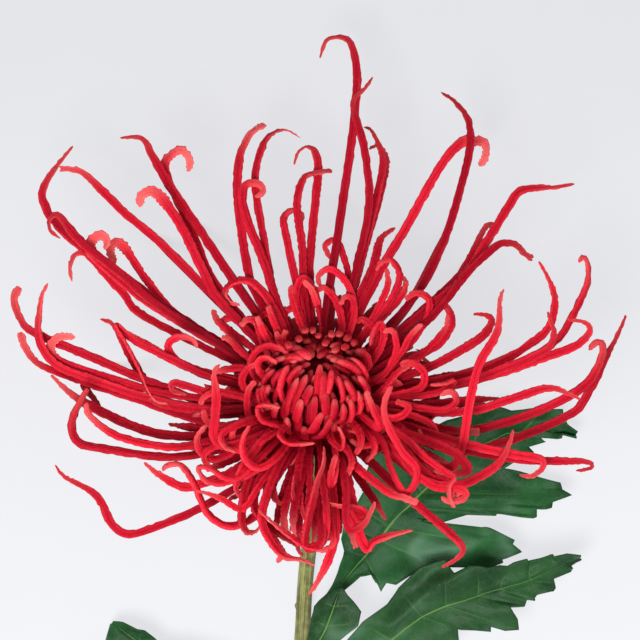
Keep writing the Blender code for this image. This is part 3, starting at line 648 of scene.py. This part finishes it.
FOOT_FLORETS = read_florets("""
1 262,524 256,531 247,532 242,521 243,500 248,480 263,455 286,430
1 262,515 262,506 272,485 293,452
1 285,532 284,516 290,490 304,455
0 296,538 293,524 297,495 308,455
1 341,534 338,510 332,485 326,455
2 312,546 316,520 318,486 319,450
2 292,531 296,505 302,470 309,440
1 330,541 331,515 327,480 322,450
1 303,556 298,548 299,520 304,480 312,446
2 247,503 248,492 252,480 272,460 296,436
2 265,500 266,488 272,470 296,440
1 228,500 240,494 262,478 292,446
3 206,470 226,462 252,450 286,430
2 180,448 205,446 235,438 275,424
3 168,424 200,428 235,428 280,418
2 386,520 374,500 356,474 338,446
2 404,492 388,478 364,456 342,434
3 430,486 410,470 382,448 350,426
3 452,466 430,456 396,438 356,420
2 480,432 450,430 412,422 362,410
3 486,404 452,404 412,404 362,402
3 470,372 440,378 404,388 362,396
1 356,548 350,528 342,494 332,452
2 276,540 278,515 288,480 304,446
""")
LOW_FLORETS = read_rows("""
128,216,0.62 150,234,0.62 185,268,12 225,308,33 270,350,52 |
178,199,0.62 194,221,0.62 220,260,13 248,300,34 282,350,52 |
348,160,0.62 344,190,0.62 338,235,14 330,285,35 322,340,52 |
455,208,0.62 448,228,0.62 430,266,13 405,310,34 362,360,52 |
494,231,0.62 478,256,0.62 455,285,12 425,312,33 375,360,52 |
540,337,0.62 522,349,0.62 490,365,13 440,380,34 375,392,52 |
88,356,0.62 110,365,0.62 150,382,12 205,402,33 270,405,52
""")
print(len(NEAR_HOOKS + FOOT_FLORETS), "more florets,", len(LOW_FLORETS), "of the solid reach the table")

# %% [markdown]
# Some florets stand out in the picture by their kind and colour. They are named here by their tips: the
# shade runs from 0, dark, to 1, bright, and the last number is how pale the tip is.

# %% Florets that stand out
BOWED = {(504, 289): 13.0, (513, 430): 6.0, (309, 595): 4.0}  # mm towards the viewer beyond the rule, by tip
# Shade and paleness here are partly each floret's own colour and partly painted light and shade.
MARKED = {}
for kind, marks in (
    (frilled, """
        369,149,0.4,0.6 105,249,0.7,1.4 115,264,0.75,1.5 188,172,0.7,1.9 140,207,0.65,1.7
        479,166,1.0,1.8 75,337,0.5,1.6 277,563,0.8,1.0"""),
    (pointed, """
        548,312,0.5,0.1 513,430,0.65,0.4 580,399,0.55,0.3 473,314,0.4,0.0 500,398,0.3,0.2
        100,319,0.3,0.2 262,524,0.3,0.5 73,146,0.4,0.4 72,281,0.65,1.0 120,138,0.35,0.3 301,138,0.45,0.8
        294,165,0.6,0.6 320,58,0.35,0.4 373,77,0.3,0.4 364,127,0.4,0.3 395,228,0.2,0.0 441,92,0.12,0.0
        575,184,0.5,0.1 539,262,0.8,0.1 567,319,0.65,0.2 626,315,0.35,0.1 504,289,0.95,0.9
        576,471,0.35,0.1 519,475,0.75,0.6 48,283,0.6,0.8 55,465,0.4,0.1 144,463,0.75,0.4
        315,565,0.85,1.2 258,510,0.85,0.9 195,491,0.85,0.8 413,530,0.95,0.9 294,476,0.35,0.1
        309,595,0.8,0.7 442,567,0.45,0.3 322,502,0.95,0.9 116,324,0.7,0.6"""),
    (hooked, """
        589,350,0.5,0.5 441,496,0.85,0.9 455,508,0.85,1.0 313,548,0.8,1.0 255,197,0.65,0.8
        302,222,0.65,0.8 495,224,0.3,0.3 579,263,0.7,0.5 163,471,0.85,0.7 88,388,0.3,0.2 86,402,0.75,0.9
        198,347,0.9,0.8"""),
    (spooned, """
        418,503,0.9,1.1 265,124,0.5,1.3 332,171,0.5,0.7 20,287,0.3,0.5 20,332,0.4,0.9 167,404,0.8,1.1"""),
    (frayed, """59,169,0.5,0.6 533,259,0.05,0.1"""),
):
    for across, down, bright, paleness in read_points(marks):
        MARKED[across, down] = (kind, bright, paleness)
print(len(MARKED), "florets marked,", len(BOWED), "bowed")

# %% [markdown]
# A route has no heights in the picture, so a rule gives them. The head is a shallow bowl that faces up and
# towards the top of the picture: florets at the bottom of the picture rise to the viewer, those at the top
# fall away behind, and a hooked tip keeps rising a little so that it doesn't pass through its own quill.

# %% Heights of the routes
LAYER_STEP, ROOT_REACH, MOST_HOOK_RISE = 5.0, 7.0, 5.0  # mm
LOWEST, HIGHEST = 3.0, 100.0  # mm
TOWARDS_TOP, TOWARDS_FOOT, SIDEWAYS, HOOK_RISE = -0.45, -0.55, 0.10, 0.3  # slopes


def head_height(across, down):
    u = (across - DOME_ACROSS) * PIXEL
    v = (DOME_DOWN - down) * PIXEL
    lean = TOWARDS_TOP * v if v > 0 else TOWARDS_FOOT * v
    return DOME_HEIGHT * MM + lean + SIDEWAYS * abs(u)


def floret_points(layer, traced):
    """From the root outwards: places in metres."""
    pixels = [Vector(point) for point in reversed(traced)]
    towards = Vector((pixels[0].x - DOME_ACROSS, DOME_DOWN + 9.0 - pixels[0].y)).normalized()
    root = CORE_CENTRE + Vector((towards.x, towards.y, -0.1)) * ROOT_REACH * MM
    hub = Vector((DOME_ACROSS, DOME_DOWN))
    reach = [(pixel - hub).length for pixel in pixels]
    far = reach.index(max(reach))
    travelled = [max(reach[0] * PIXEL - ROOT_REACH * MM, 1.0 * MM)]
    for before, pixel in zip(pixels, pixels[1:]):
        travelled.append(travelled[-1] + (pixel - before).length * PIXEL)
    surface = head_height(*pixels[far])
    top = surface - layer * LAYER_STEP * MM * surface / (DOME_HEIGHT * MM)
    points = [root]
    for pixel, length in zip(pixels, travelled):
        t = min(1.0, length / travelled[far])
        ease = math.sin(t * math.pi / 2) if top > root.z else t ** 1.4
        hook = min(HOOK_RISE * max(0.0, length - travelled[far]), MOST_HOOK_RISE * MM)
        height = root.z + (top - root.z) * ease + hook
        height += BOWED.get(traced[0], 0.0) * MM * math.sin(t * math.pi)
        points.append(spot(pixel.x, pixel.y, min(max(height, LOWEST * MM), HIGHEST * MM)))
    return points


print("bowl rises to", round(head_height(316, 560) * 1000), "mm at the lower edge")

# %% [markdown]
# The red of the florets. A floret is dark and almost black-red towards its root, a painted shade where the
# florets crowd at the core, scarlet along its length and a little paler at the tip, partly its own colour and
# partly a painted highlight, and no two are quite alike. Fine fibres run from root to tip, and pale fibres and
# pale edges add a painted sheen. The attribute "fibre" holds the place along and round each quill, so streaks
# follow every bend, and "tone" holds the shade of the floret, partly its own colour and partly painted light
# and shade, the paleness of its tip and a number of its own.

# %% Floret red
petal = Finish("floret_red", Roughness=0.42, Specular_IOR_Level=0.05)
along, side, face = petal.parts("fibre")
tone_and_shade, pale, number = petal.parts("tone_and_shade")
fibre_place = petal.stretched(along * 5.0 + number * 37.0, side * 4.0, face * 4.0)
streak = petal.noise(1.6, 4.0, fibre_place)
fine_place = petal.stretched(along * 14.0 + number * 11.0, side * 9.0, face * 9.0)
fine = petal.noise(2.0, 3.0, fine_place)
nap = petal.noise(1500.0)
petal.ground(tone_and_shade, (0.30, 0.0, 0.012), (0.87, 0.014, 0.040))
petal.paint(petal.band(streak, 0.42, 0.66) * 0.45, (0.30, 0.0005, 0.008))
# Pale fibres along the quill, partly the fibres' own colour and partly a painted sheen.
petal.paint(petal.band(fine, 0.50, 0.72) * 0.36, (0.93, 0.085, 0.085))
# Pale edges where the velvet nap turns away, a painted sheen, stronger on the brighter florets.
edge = petal.band(petal.math("ABSOLUTE", side), 0.82, 1.0) * petal.band(nap, 0.38, 0.62)
edge = edge * petal.band(along, 0.15, 0.6)
petal.paint(edge * (tone_and_shade * 0.5 + 0.1), (0.90, 0.10, 0.12))
petal.paint(petal.band(nap, 0.5, 0.75) * 0.3, (0.30, 0.0, 0.006))
# Darker along the bottom of the groove on each face: a painted shade in the hollow.
groove_shade = petal.band(petal.math("ABSOLUTE", face), 0.86, 1.0)
petal.paint(groove_shade * 0.5, (0.25, 0.0, 0.006))
# Darker towards the root: a painted shade where the florets crowd at the core.
root_shade = 1 - petal.band(along, 0.05, 0.62)
petal.paint(root_shade * 0.9, (0.15, 0.0, 0.006))
# Paler towards the tip, partly the floret's own colour and partly a painted highlight.
petal.paint(petal.band(along, 0.80, 1.0) * (pale * 0.5 + 0.15), (0.93, 0.15, 0.145))
ridges = petal.math("SINE", side * 16.0) * 0.3 + streak * 0.9 + nap * 0.8
petal.complete(fine * 0.25 + 0.34, ridges, 0.6)
print("red mixed")

# %% [markdown]
# Now the long florets, group by group. Each takes its blank, a width and a shade from a seeded draw, so the
# flower is uneven but the same on every run. The florets that stand out in the picture keep what was noted.

# %% Long florets
draw = random.Random(21)
COMMON_BLANKS = [pointed, pointed, pointed, pointed, frayed, spooned]
ROUGHNESS, HOOK_SLIMNESS = 0.9 * MM, 0.84
# Painted light and shade in these ranges: the foot florets under the head are dark, the hooks near the viewer
# bright.
GROUPS = {
    "florets_upper_left": (UPPER_LEFT_FLORETS, 0.20, 0.75),
    "florets_upper_right": (UPPER_RIGHT_FLORETS, 0.10, 0.75),
    "florets_right": (RIGHT_FLORETS, 0.25, 0.85),
    "florets_lower": (LOWER_FLORETS, 0.10, 0.75),
    "florets_left": (LEFT_FLORETS, 0.20, 0.8),
    "florets_hooked": (HOOKED_FLORETS, 0.50, 1.0),
    "florets_near_hooks": (NEAR_HOOKS, 0.50, 1.0),
    "florets_foot": (FOOT_FLORETS, 0.0, 0.25),
}


def shade_of(low, high, layer=0):
    """Shade, drawn and darkened in far layers as painted shade, then paleness and a number of the floret's own.
    """
    return (min(1.0, max(0.0, draw.uniform(low, high) - 0.10 * layer)), draw.random(), draw.random())


for group_name, (routes, low, high) in GROUPS.items():
    pieces = []
    is_hooked = "hook" in group_name
    for layer, traced in routes:
        route = smooth_route(floret_points(layer, traced))
        source = draw.choice(COMMON_BLANKS)
        if is_hooked:
            source = hooked
        width = draw.uniform(2.15, 2.6) * MM * (HOOK_SLIMNESS if is_hooked else 1.0)
        shade = shade_of(low, high, layer)
        if traced[0] in MARKED:
            source, bright, paleness = MARKED[traced[0]]
            shade = (bright, paleness, shade[2])
        pieces.append(bend(source, route, width, shade, draw.uniform(-0.5, 0.5)))
    gather(group_name, pieces, petal, "bloom", rough=ROUGHNESS)

# %% [markdown]
# Between the florets that can be traced there are many more in the shade, which fill the head and hide its
# core. They follow a rule: a sunflower turn from one to the next, a length that is shorter at the bottom of the
# picture, a seeded sideways bow and a hook at the tip.

# %% Shaded florets between them
GOLDEN = math.radians(137.508)
SHADED_STATIONS = ((1.0, 0.93), (0.93, 1.0), (0.7, 0.86), (0.45, 0.6), (0.2, 0.3))
SHORTER_BELOW, TIP_HOOK = 0.72, 1.1


def shaded_route(k, near, reach):
    """Pixels of one shaded floret, tip first."""
    turn = k * GOLDEN
    across, up = math.cos(turn), math.sin(turn)
    length = (near + (reach - near) * draw.random()) * (1.0 if up > -0.2 else SHORTER_BELOW)
    bow = draw.uniform(-0.16, 0.16) * length
    row = []
    for t, out in SHADED_STATIONS:
        wide = bow * math.sin(t * math.pi) + (bow * TIP_HOOK if t == 1.0 else 0.0)
        r = length * out
        row.append((DOME_ACROSS + across * r - up * wide, DOME_DOWN + 12 - up * r - across * wide))
    return row


def shaded_group(name, count, near, reach, layers, low, high):
    pieces = []
    for k in range(count):
        layer = draw.choice(layers)
        route = smooth_route(floret_points(layer, shaded_route(k, near, reach)))
        width = draw.uniform(2.0, 2.6) * MM
        pieces.append(bend(plain, route, width, shade_of(low, high), draw.uniform(-0.8, 0.8)))
    gather(name, pieces, petal, "bloom")


# These florets get low shade values, a painted shade where they lie between the others.
shaded_group("florets_shaded_long", 90, 80, 125, (2, 3, 4), 0.05, 0.35)
shaded_group("florets_shaded_short", 80, 55, 95, (1, 2, 3), 0.1, 0.5)

# %% [markdown]
# A few of the back florets droop as far as the table and carry the head there. They run under florets that
# are seen from above, so they are known from the sides only.

# %% Florets that reach the table
LEAST_CENTRE = 0.85 * MM
pieces = []
for traced in LOW_FLORETS:
    points = [CORE_CENTRE] + [spot(x, y, z * MM) for x, y, z in reversed(traced)]
    route = smooth_route(points)
    for point in route:
        point.z = max(point.z, LEAST_CENTRE)
    pieces.append(bend(pointed, route, 2.4 * MM, shade_of(0.2, 0.5)))
gather("florets_low", pieces, petal, "bloom")

# %% [markdown]
# The dome in the middle is made of short florets that lean together over a dark hollow. Those that face the
# viewer were read off the picture, by tip and base or, where only the tip is seen, by the tip. A rule sets the
# ones behind, in a wide ring and a close one round the hollow.

# %% Places of the dome florets
DOME_FINGERS = read_rows("""
311,360 300,353 | 304,361 290,357 | 289,366 280,392 | 303,367 290,378 | 299,378 286,408 | 308,375 293,406 |
320,366 317,392 | 315,395 313,420 | 324,390 326,412 | 331,370 328,391 | 336,377 343,398 | 343,403 341,420 |
350,398 350,420 | 356,391 359,411 | 322,411 310,432 | 332,416 318,438 | 336,361 360,373 | 349,359 366,378 |
356,350 369,366 | 355,377 367,392 | 362,394 368,414 | 303,398 296,420 | 334,398 332,418 | 312,385 305,400 |
324,374 323,396 | 343,380 354,398
""")
DOME_TIPS_SEEN_END_ON = read_points("""
301,343 306,336 313,335 318,341 324,347 330,339 338,337 346,340 352,345 333,352 342,350 361,352 291,348
297,362
""")
RIGHTWARD = Vector((1.0, 0.0, 0.0))
DOWNWARD = AXIS.cross(RIGHTWARD).normalized()
RIM = 0.985


def on_dome(across, down):
    flat = spot(across, down, (DOME_HEIGHT + 8.0) * MM) - DOME_CENTRE
    flat.z = 0.0
    if flat.length > DOME_RADIUS * RIM:
        flat = flat.normalized() * DOME_RADIUS * RIM
    return flat + Vector((0.0, 0.0, math.sqrt(DOME_RADIUS ** 2 - flat.length ** 2)))


def seen_end_on(tip):
    end = on_dome(*tip)
    outward = (end - AXIS * end.dot(AXIS)).normalized()
    return end, end - Vector((0.0, 0.0, 9.0 * MM)) + outward * 1.5 * MM


def rule_ring(depths, first, spread, lean, phase):
    """Tips and bases on a sunflower spiral. Angles from the axis are in degrees, lean and phase in radians."""
    pairs = []
    for k, depth in enumerate(depths):
        ring = math.radians(first + spread * math.sqrt((k + 0.5) / len(depths)))
        way = RIGHTWARD * math.cos(k * GOLDEN + phase) + DOWNWARD * math.sin(k * GOLDEN + phase)
        tip = AXIS * math.cos(ring - lean) + way * math.sin(ring - lean)
        base = AXIS * math.cos(ring + 0.30) + way * math.sin(ring + 0.30)
        pairs.append((tip * DOME_RADIUS * depth, base * DOME_RADIUS * depth))
    return pairs


facing = [(on_dome(*tip), on_dome(*base)) for tip, base in DOME_FINGERS]
end_on = [seen_end_on(tip) for tip in DOME_TIPS_SEEN_END_ON]
behind = rule_ring([draw.uniform(0.84, 0.90) for _ in range(54)], 20.0, 76.0, 0.22, 0.0)
behind += rule_ring([0.80] * 20, 9.0, 24.0, 0.15, 1.0)
print(len(facing), "facing,", len(end_on), "end on,", len(behind), "behind")

# %% [markdown]
# The blank of these florets is the club: thin below, round and full near the tip. The ones seen end on are
# slimmer and brighter, a painted highlight, and the ones behind are dark, a painted shade.

# %% Dome florets
pieces = []
for pairs, slim, low, high in ((facing, 1.0, 0.3, 1.0), (end_on, 0.85, 0.75, 1.0), (behind, 1.0, 0.0, 0.3)):
    for tip, base in pairs:
        base = (base + (base - tip) * 0.25).normalized() * base.length * 0.97
        middle = (tip + base) * 0.55
        ends = (base * 0.5, base * 0.95, middle, tip * draw.uniform(0.99, 1.09))
        width = draw.uniform(2.0, 2.5) * MM * slim
        pieces.append(bend(club, smooth_route([DOME_CENTRE + v for v in ends]), width, shade_of(low, high)))
gather("florets_dome", pieces, petal, "bloom", rough=0.6 * MM)

# %% [markdown]
# Under all of them sits the receptacle, the round core from which the florets grow. It is in deep shade and
# shows only from below, so a ball with a dented surface is enough for it. Its attributes stay at 0, which gives
# it the darkest red of the roots, a painted shade.

# %% Core of the head
bpy.ops.object.select_all(action="DESELECT")
bpy.ops.mesh.primitive_ico_sphere_add(subdivisions=4, radius=CORE_RADIUS, location=CORE_CENTRE)
core = bpy.context.object
bpy.ops.object.transform_apply(location=True, rotation=True, scale=True)
for vertex in core.data.vertices:
    away = vertex.co - CORE_CENTRE
    dents = math.sin(away.x * 4000) * math.sin(away.y * 4300 + away.z * 3000)
    vertex.co = CORE_CENTRE + away * (1.0 + 0.03 * dents)
for key in ("fibre", "tone_and_shade"):
    core.data.attributes.new(key, "FLOAT_VECTOR", "POINT")
gather("receptacle", [core], petal, "bloom")

# %% [markdown]
# The stem is ridged like celery. It is one more quill: a fluted blank bent along the stem's route. Its last
# stretch lies on the table, and a small bud stands on its left side.

# %% Stem
STEM_ROUTE = read_points("""
316,466,38.2 315,490,31.0 312,520,22.5 309,546,15.5 306,572,9.6 304,598,5.4 303,622,3.0 301.5,645,2.2
300,680,2.2 299,740,2.2 297,850,2.2 299,960,2.2 304,1085,2.2
""")
STEM_WIDTH, BUD_WIDTH, STEM_RIDGES = 4.35 * MM, 1.3 * MM, 7.0
LEAST_STEM_CENTRE = 2.32
stem_blank = blank("blank_stem", 24, [(k / 60, 1.0, 1.0) for k in range(61)], groove=0.0, flat=1.0)
for vertex in stem_blank.data.vertices:
    around = math.atan2(vertex.co.z, vertex.co.y)
    ridge = 1.0 + 0.035 * math.cos(around * STEM_RIDGES)
    vertex.co.y *= ridge
    vertex.co.z *= ridge
below = CORE_CENTRE - AXIS * 17.5 * MM
stem_line = [below, below - AXIS * 3.0 * MM]
stem_line += [spot(x, y, max(z, LEAST_STEM_CENTRE) * MM) for x, y, z in STEM_ROUTE]
stem = bend(stem_blank, smooth_route(stem_line), STEM_WIDTH, (0.5, 0.5, 0.5))
bud_line = [spot(x, y, z * MM) for x, y, z in read_points("302,616,4.2 298.5,610,4.8 296.5,603,5.6")]
bud = bend(club, smooth_route(bud_line), BUD_WIDTH, (0.5, 0.5, 0.5))
print("stem runs through", len(stem_line), "points")

# %% [markdown]
# It is olive green with pale streaks, a brownish flank on one side and darker mottling.

# %% Stem green
stalk = Finish("stem_green", Roughness=0.5, Specular_IOR_Level=0.4)
along, side, face = stalk.parts("fibre")
long_streak = stalk.noise(1.5, 4.0, stalk.stretched(along * 6.0, side * 5.0, face * 5.0))
spots = stalk.noise(900.0)
mottle = stalk.noise(260.0)
streaks = stalk.band(long_streak * 0.6 + mottle * 0.4, 0.38, 0.62)
stalk.ground(streaks, (0.075, 0.080, 0.018), (0.30, 0.30, 0.10))
stalk.paint(stalk.band(side, 0.4, 1.0) * 0.55, (0.12, 0.075, 0.028))
stalk.paint(stalk.band(spots, 0.6, 0.72) * 0.35, (0.07, 0.11, 0.03))
stalk.complete(long_streak * 0.3 + 0.38, long_streak * 1.4 + spots * 0.3, 0.5)
gather("stem_skin", [stem, bud], stalk, "stem")

# %% [markdown]
# A leaf is a thin lobed blade. Its outline is a list of side veins from the stalk to the tip: each row has a
# point on the midrib and one on either edge. Where an edge is toothed between two rows, the extra points are
# given apart: the two ends of that stretch, then the teeth.

# %% Outlines of the leaves
LEAF_UPPER_RIGHT = read_rows("""
314.2,617.5 313.3,614.5 315.2,620.5 | 327,603 323,600 331,605 | 339,588 332,585 345,590 |
348,576 338,573 361,575 | 357,565 342,561 373,574 | 365,556 344,551 381,592 | 371,549 341,539 396,585 |
377,541 344,526 424,567 | 383,534 350,514 488,568 | 388,527 357,503 522,552 | 393,521 364,490 490,528 |
400,514 366,475 438,524 | 408,507 372,455 497,514 | 414,500 385,446 537,517 | 421,493 402,439 572,495 |
432,483 425,431 561,486 | 450,468 447,420 504,468 | 477,448 492,410 534,452 | 505,434 532,408 546,442 |
540,430 563,409 561,438 | 576,435 577,433 577,437
""")
LEAF_LOWER_RIGHT = read_rows("""
311,709 310,705 313,713 | 322,696 318,692 325,699 | 341,674 337,667 346,682 | 365,656 347,641 385,680 |
391,640 362,623 430,668 | 406,628 387,604 459,642 | 422,617 398,589 457,629 | 434,611 422,567 491,632 |
446,606 445,560 519,630 | 460,602 454,573 518,620 | 473,598 470,565 510,606 | 483,594 488,569 526,603 |
493,591 501,566 527,600 | 507,587 515,563 535,598 | 522,583 528,560 556,588 | 537,577 541,559 554,579 |
552,570 552,555 573,568 | 580,559 581,557 582,560
""")
LEAF_SMALL = read_rows("""
304,668 300,664 308,671 | 309,657 303,652 316,661 | 317,645 307,640 333,646 | 325,630 311,622 357,626 |
332,612 314,606 361,612 | 337,598 326,594 347,595 | 340,588 338,587 342,588
""")
LEAF_LOWER_LEFT = read_rows("""
287,742 288,738 286,746 | 268,731 270,726 265,736 | 245,718 256,702 238,744 | 222,703 243,676 205,746 |
198,686 216,657 182,724 | 172,667 184,649 150,706 | 146,648 160,643 122,676 | 126,633 145,632 104,645 |
112,623 113,621 110,624
""")
TEETH_ROWS = read_rows("""
381,592 396,585 386,583 | 488,568 522,552 503,563 502,560 | 522,552 490,528 513,544 515,540 |
490,528 438,524 464,525 | 438,524 497,514 467,515 496,516 | 537,517 572,495 537,508 552,508 553,502 |
572,495 561,486 562,489 | 561,486 504,468 560,483 536,477 | 504,468 534,452 520,457 |
534,452 546,442 529,447 | 546,442 561,438 539,438 | 561,438 577,437 562,433 |
492,410 532,408 497,407 512,411 | 532,408 563,409 535,411 550,409 | 563,409 577,433 563,416 567,425 |
501,566 515,563 508,567 | 528,560 541,559 529,562 | 552,555 581,557 552,558 567,555 |
510,606 526,603 525,606 | 527,600 535,598 535,601 | 535,598 556,588 537,595 554,591 |
554,579 573,568 571,572 | 573,568 582,560 571,565 | 491,632 519,630 491,627 505,631 |
459,642 457,629 458,636 | 145,632 113,621 137,631 122,623
""")
TEETH = {(row[0], row[1]): row[2:] for row in TEETH_ROWS}
print(len(LEAF_UPPER_RIGHT), "veins in the largest leaf,", len(TEETH), "toothed stretches")

# %% [markdown]
# A point of the blade is found from its place along and across it. Folds raise the blade along a line, as
# where a lobe lies over the one behind it.

# %% Places on a blade


def row_at(rows, s):
    """Midrib, one edge and other edge at a place between two veins."""
    i = min(int(s), len(rows) - 2)
    t = s - i
    places = []
    for start, end in zip(rows[i], rows[i + 1]):
        line = [start] + TEETH.get((start, end), []) + [end]
        at = t * (len(line) - 1)
        j = min(int(at), len(line) - 2)
        places.append(Vector(line[j]).lerp(Vector(line[j + 1]), at - j))
    return places


def fold_height(flat, folds):
    """Sum of the folds, each a soft ridge along a line: start, end, height in mm, half-width in pixels."""
    total = 0.0
    for start, end, tall, wide in folds:
        way = Vector(end) - Vector(start)
        t = max(0.0, min(1.0, (flat - Vector(start)).dot(way) / way.dot(way)))
        total += tall * math.exp(-((flat - Vector(start) - way * t).length / wide) ** 2)
    return total


print("places and folds ready")

# %% [markdown]
# A flat grid is added with enough rows and columns, and every point of it is moved to its place between midrib
# and edge, with the blade's waves and the hollow along each vein. Solidify then gives it its thickness.

# %% Leaf builder
FINE, COLUMNS, ROW_SCALE, BLADE_THICKNESS = 12, 28, 20.0, 0.55 * MM
VEIN_HOLLOW, VEIN_HALF_WIDTH, RIB_HOLLOW, RIB_HALF_WIDTH, ROLL = 0.45, 0.28, 0.55, 0.07, 1.3


def blade_height(s, t, u, flat, heights, lift, wave, veins):
    """Height in mm: the run from stalk to tip, then ripple, tilt, roll and hollows, all fading in."""
    out, left = abs(u), u < 0
    level = heights[0] + (heights[1] - heights[0]) * math.sin(min(1.0, t * 1.7) * math.pi / 2)
    level += (heights[2] - heights[1]) * max(0.0, t - 0.55) / 0.45
    opened = min(1.0, t * 4.0)
    ripple = wave * math.sin(s * 1.9 + (0.8 if left else 2.4)) * out * out
    tilt = (lift[0] if left else lift[1]) * out
    hollows = sum(math.exp(-((s - v) / VEIN_HALF_WIDTH) ** 2) for v in veins)
    groove = hollows * VEIN_HOLLOW * math.sin(out * math.pi)
    rib_line = RIB_HOLLOW * math.exp(-(out / RIB_HALF_WIDTH) ** 2)
    roll = ROLL * math.sin(flat.x * 0.105 + flat.y * 0.06) * math.sin(flat.y * 0.09 - flat.x * 0.03) * out
    return level + opened * (ripple + tilt + roll) - opened * (groove + rib_line)


def make_leaf(name, rows, heights, lift, wave, veins, finish, folds):
    bpy.ops.object.select_all(action="DESELECT")
    spans = len(rows) - 1
    bpy.ops.mesh.primitive_grid_add(x_subdivisions=spans * FINE, y_subdivisions=COLUMNS, size=2.0)
    made = bpy.context.object
    grid = made.data.attributes.new("blade", "FLOAT_VECTOR", "POINT")
    for vertex in made.data.vertices:
        s = (vertex.co.x + 1.0) / 2.0 * spans
        t, u = s / spans, vertex.co.y
        rib, one, other = row_at(rows, s)
        flat = rib.lerp(one if u < 0 else other, abs(u))
        height = blade_height(s, t, u, flat, heights, lift, wave, veins) + fold_height(flat, folds)
        vertex.co = spot(flat.x, flat.y, height * MM)
        grid.data[vertex.index].vector = (s / ROW_SCALE, u, t)
    only(made)
    bpy.ops.object.mode_set(mode="EDIT")
    face_outwards()
    if sum(p.normal.z * p.area for p in made.data.polygons) < 0:
        made.data.flip_normals()
    wall = made.modifiers.new("thickness", "SOLIDIFY")
    wall.thickness, wall.offset = BLADE_THICKNESS, -1.0
    bpy.ops.object.modifier_apply(modifier=wall.name)
    gather(name + "_blade", [made], finish, name)


print("leaf builder ready")

# %% [markdown]
# The leaves are dark green with a cool sheen painted into the colour as pale patches, a painted highlight, a
# yellow-green midrib and side veins, and a weave as fine as cloth. The vein lines are drawn from the blade's
# own coordinates, where the relief has them too.

# %% Leaf green
WEAVE, NET = 11000.0, 420.0


def leaf_finish(name, veins, dark, light, cloth):
    leaf = Finish(name, Specular_IOR_Level=0.15)
    row, across, _ = leaf.parts("blade")
    row = row * ROW_SCALE
    out = leaf.math("ABSOLUTE", across)
    cloud = leaf.noise(55.0, 4.0)
    blotch = leaf.noise(210.0)
    leaf.ground(leaf.band(cloud, 0.35, 0.68), dark, light)
    leaf.paint(leaf.band(blotch, 0.5, 0.8) * 0.3, (0.03, 0.11, 0.04))
    # Pale patches of painted sheen, a painted highlight on the blade.
    leaf.paint(leaf.band(leaf.noise(62.0, 1.5), 0.56, 0.78) * 0.55, (0.14, 0.28, 0.18))
    vein = (1 - leaf.band(out * (leaf.band(row, 1.0, 9.0) * 0.75 + 0.25), 0.005, 0.022)) * 0.85
    for place in veins:
        gap = leaf.math("ABSOLUTE", row - place)
        line = (1 - leaf.band(gap, 0.01, 0.06)) * (1 - leaf.band(out, 0.3, 0.85)) * 0.3
        vein = leaf.math("MAXIMUM", vein, line)
    leaf.paint(vein * 0.8, (0.15, 0.29, 0.05))
    settings = {"feature": "DISTANCE_TO_EDGE"}
    net = leaf.node("ShaderNodeTexVoronoi", settings, {"Vector": leaf.place(), "Scale": NET})
    mesh_line = 1 - leaf.band(net, 0.0, 0.09)
    leaf.paint(mesh_line * 0.16, (0.05, 0.15, 0.04))
    x, y, _ = leaf.split(leaf.place())
    warp = leaf.math("SINE", (x * 0.9 + y * 0.45) * WEAVE)
    weft = leaf.math("SINE", (y * 0.9 - x * 0.45) * WEAVE)
    weave = warp * weft
    leaf.paint(weave * cloth + cloth, (0.10, 0.24, 0.12))
    relief = weave * 0.22 - mesh_line * 0.12 - vein * 1.2 + blotch * 0.7
    return leaf.complete(0.32 + cloud * 0.2, relief, 0.4)


print("green mixed")

# %% [markdown]
# Each leaf now gets its own numbers: heights in mm at its stalk, middle and tip, how far its two sides lift,
# how much it ripples, its side veins, its two greens, its cloth and its folds.

# %% Leaves
FRESH = ((0.003, 0.034, 0.007), (0.011, 0.088, 0.020))
DULL = ((0.003, 0.022, 0.004), (0.010, 0.056, 0.010))
FOLDS_UPPER_RIGHT = [((430, 500), (515, 497), 2.2, 9.0), ((425, 552), (480, 545), 2.2, 8.0),
                     ((500, 425), (545, 421), 1.5, 7.0)]
FOLDS_LOWER_RIGHT = [((392, 628), (440, 585), 3.2, 11.0), ((440, 585), (490, 560), 3.0, 9.0),
                     ((505, 585), (560, 566), 1.5, 7.0)]
LEAVES = {
    "leaf_upper_right": (LEAF_UPPER_RIGHT, (5.0, 8.0, 6.0), (1.5, 1.0), 0.9,
                         [5, 7.2, 9, 12, 14, 16.8, 18.5], FRESH, 0.07, FOLDS_UPPER_RIGHT),
    "leaf_lower_right": (LEAF_LOWER_RIGHT, (4.0, 15.0, 11.0), (3.0, -1.0), 1.0,
                         [4, 6, 8, 10.5, 12.5, 14.5], DULL, 0.12, FOLDS_LOWER_RIGHT),
    "leaf_small": (LEAF_SMALL, (6.15, 14.0, 14.5), (0.6, 0.8), 0.4, [2, 3.2, 4.4], DULL, 0.07, []),
    "leaf_lower_left": (LEAF_LOWER_LEFT, (4.0, 9.0, 6.0), (1.5, -0.5), 0.8, [2, 3.5, 5, 6.4], FRESH, 0.07, []),
}
for name, (rows, heights, lift, wave, veins, greens, cloth, folds) in LEAVES.items():
    green = leaf_finish(name, veins, *greens, cloth)
    make_leaf(name, rows, heights, lift, wave, veins, green, folds)

# %% [markdown]
# The calyx keeps its solid cup. Its green is mottled and a little rough, as bracts are.

# %% Calyx green
bracts = Finish("calyx_green", Specular_IOR_Level=0.3)
cup_noise = bracts.noise(300.0, 4.0)
bracts.ground(cup_noise, (0.05, 0.11, 0.03), (0.17, 0.26, 0.08))
bracts.complete(0.5 + cup_noise * 0.3, cup_noise, 0.6, 0.0004)
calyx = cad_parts["calyx"]
calyx.data.materials.clear()
calyx.data.materials.append(bracts.material)
print("calyx dressed")

# %% [markdown]
# Last, the blanks go.

# %% Clear up
for spare in (*BLANKS, stem_blank):
    bpy.data.objects.remove(spare, do_unlink=True)
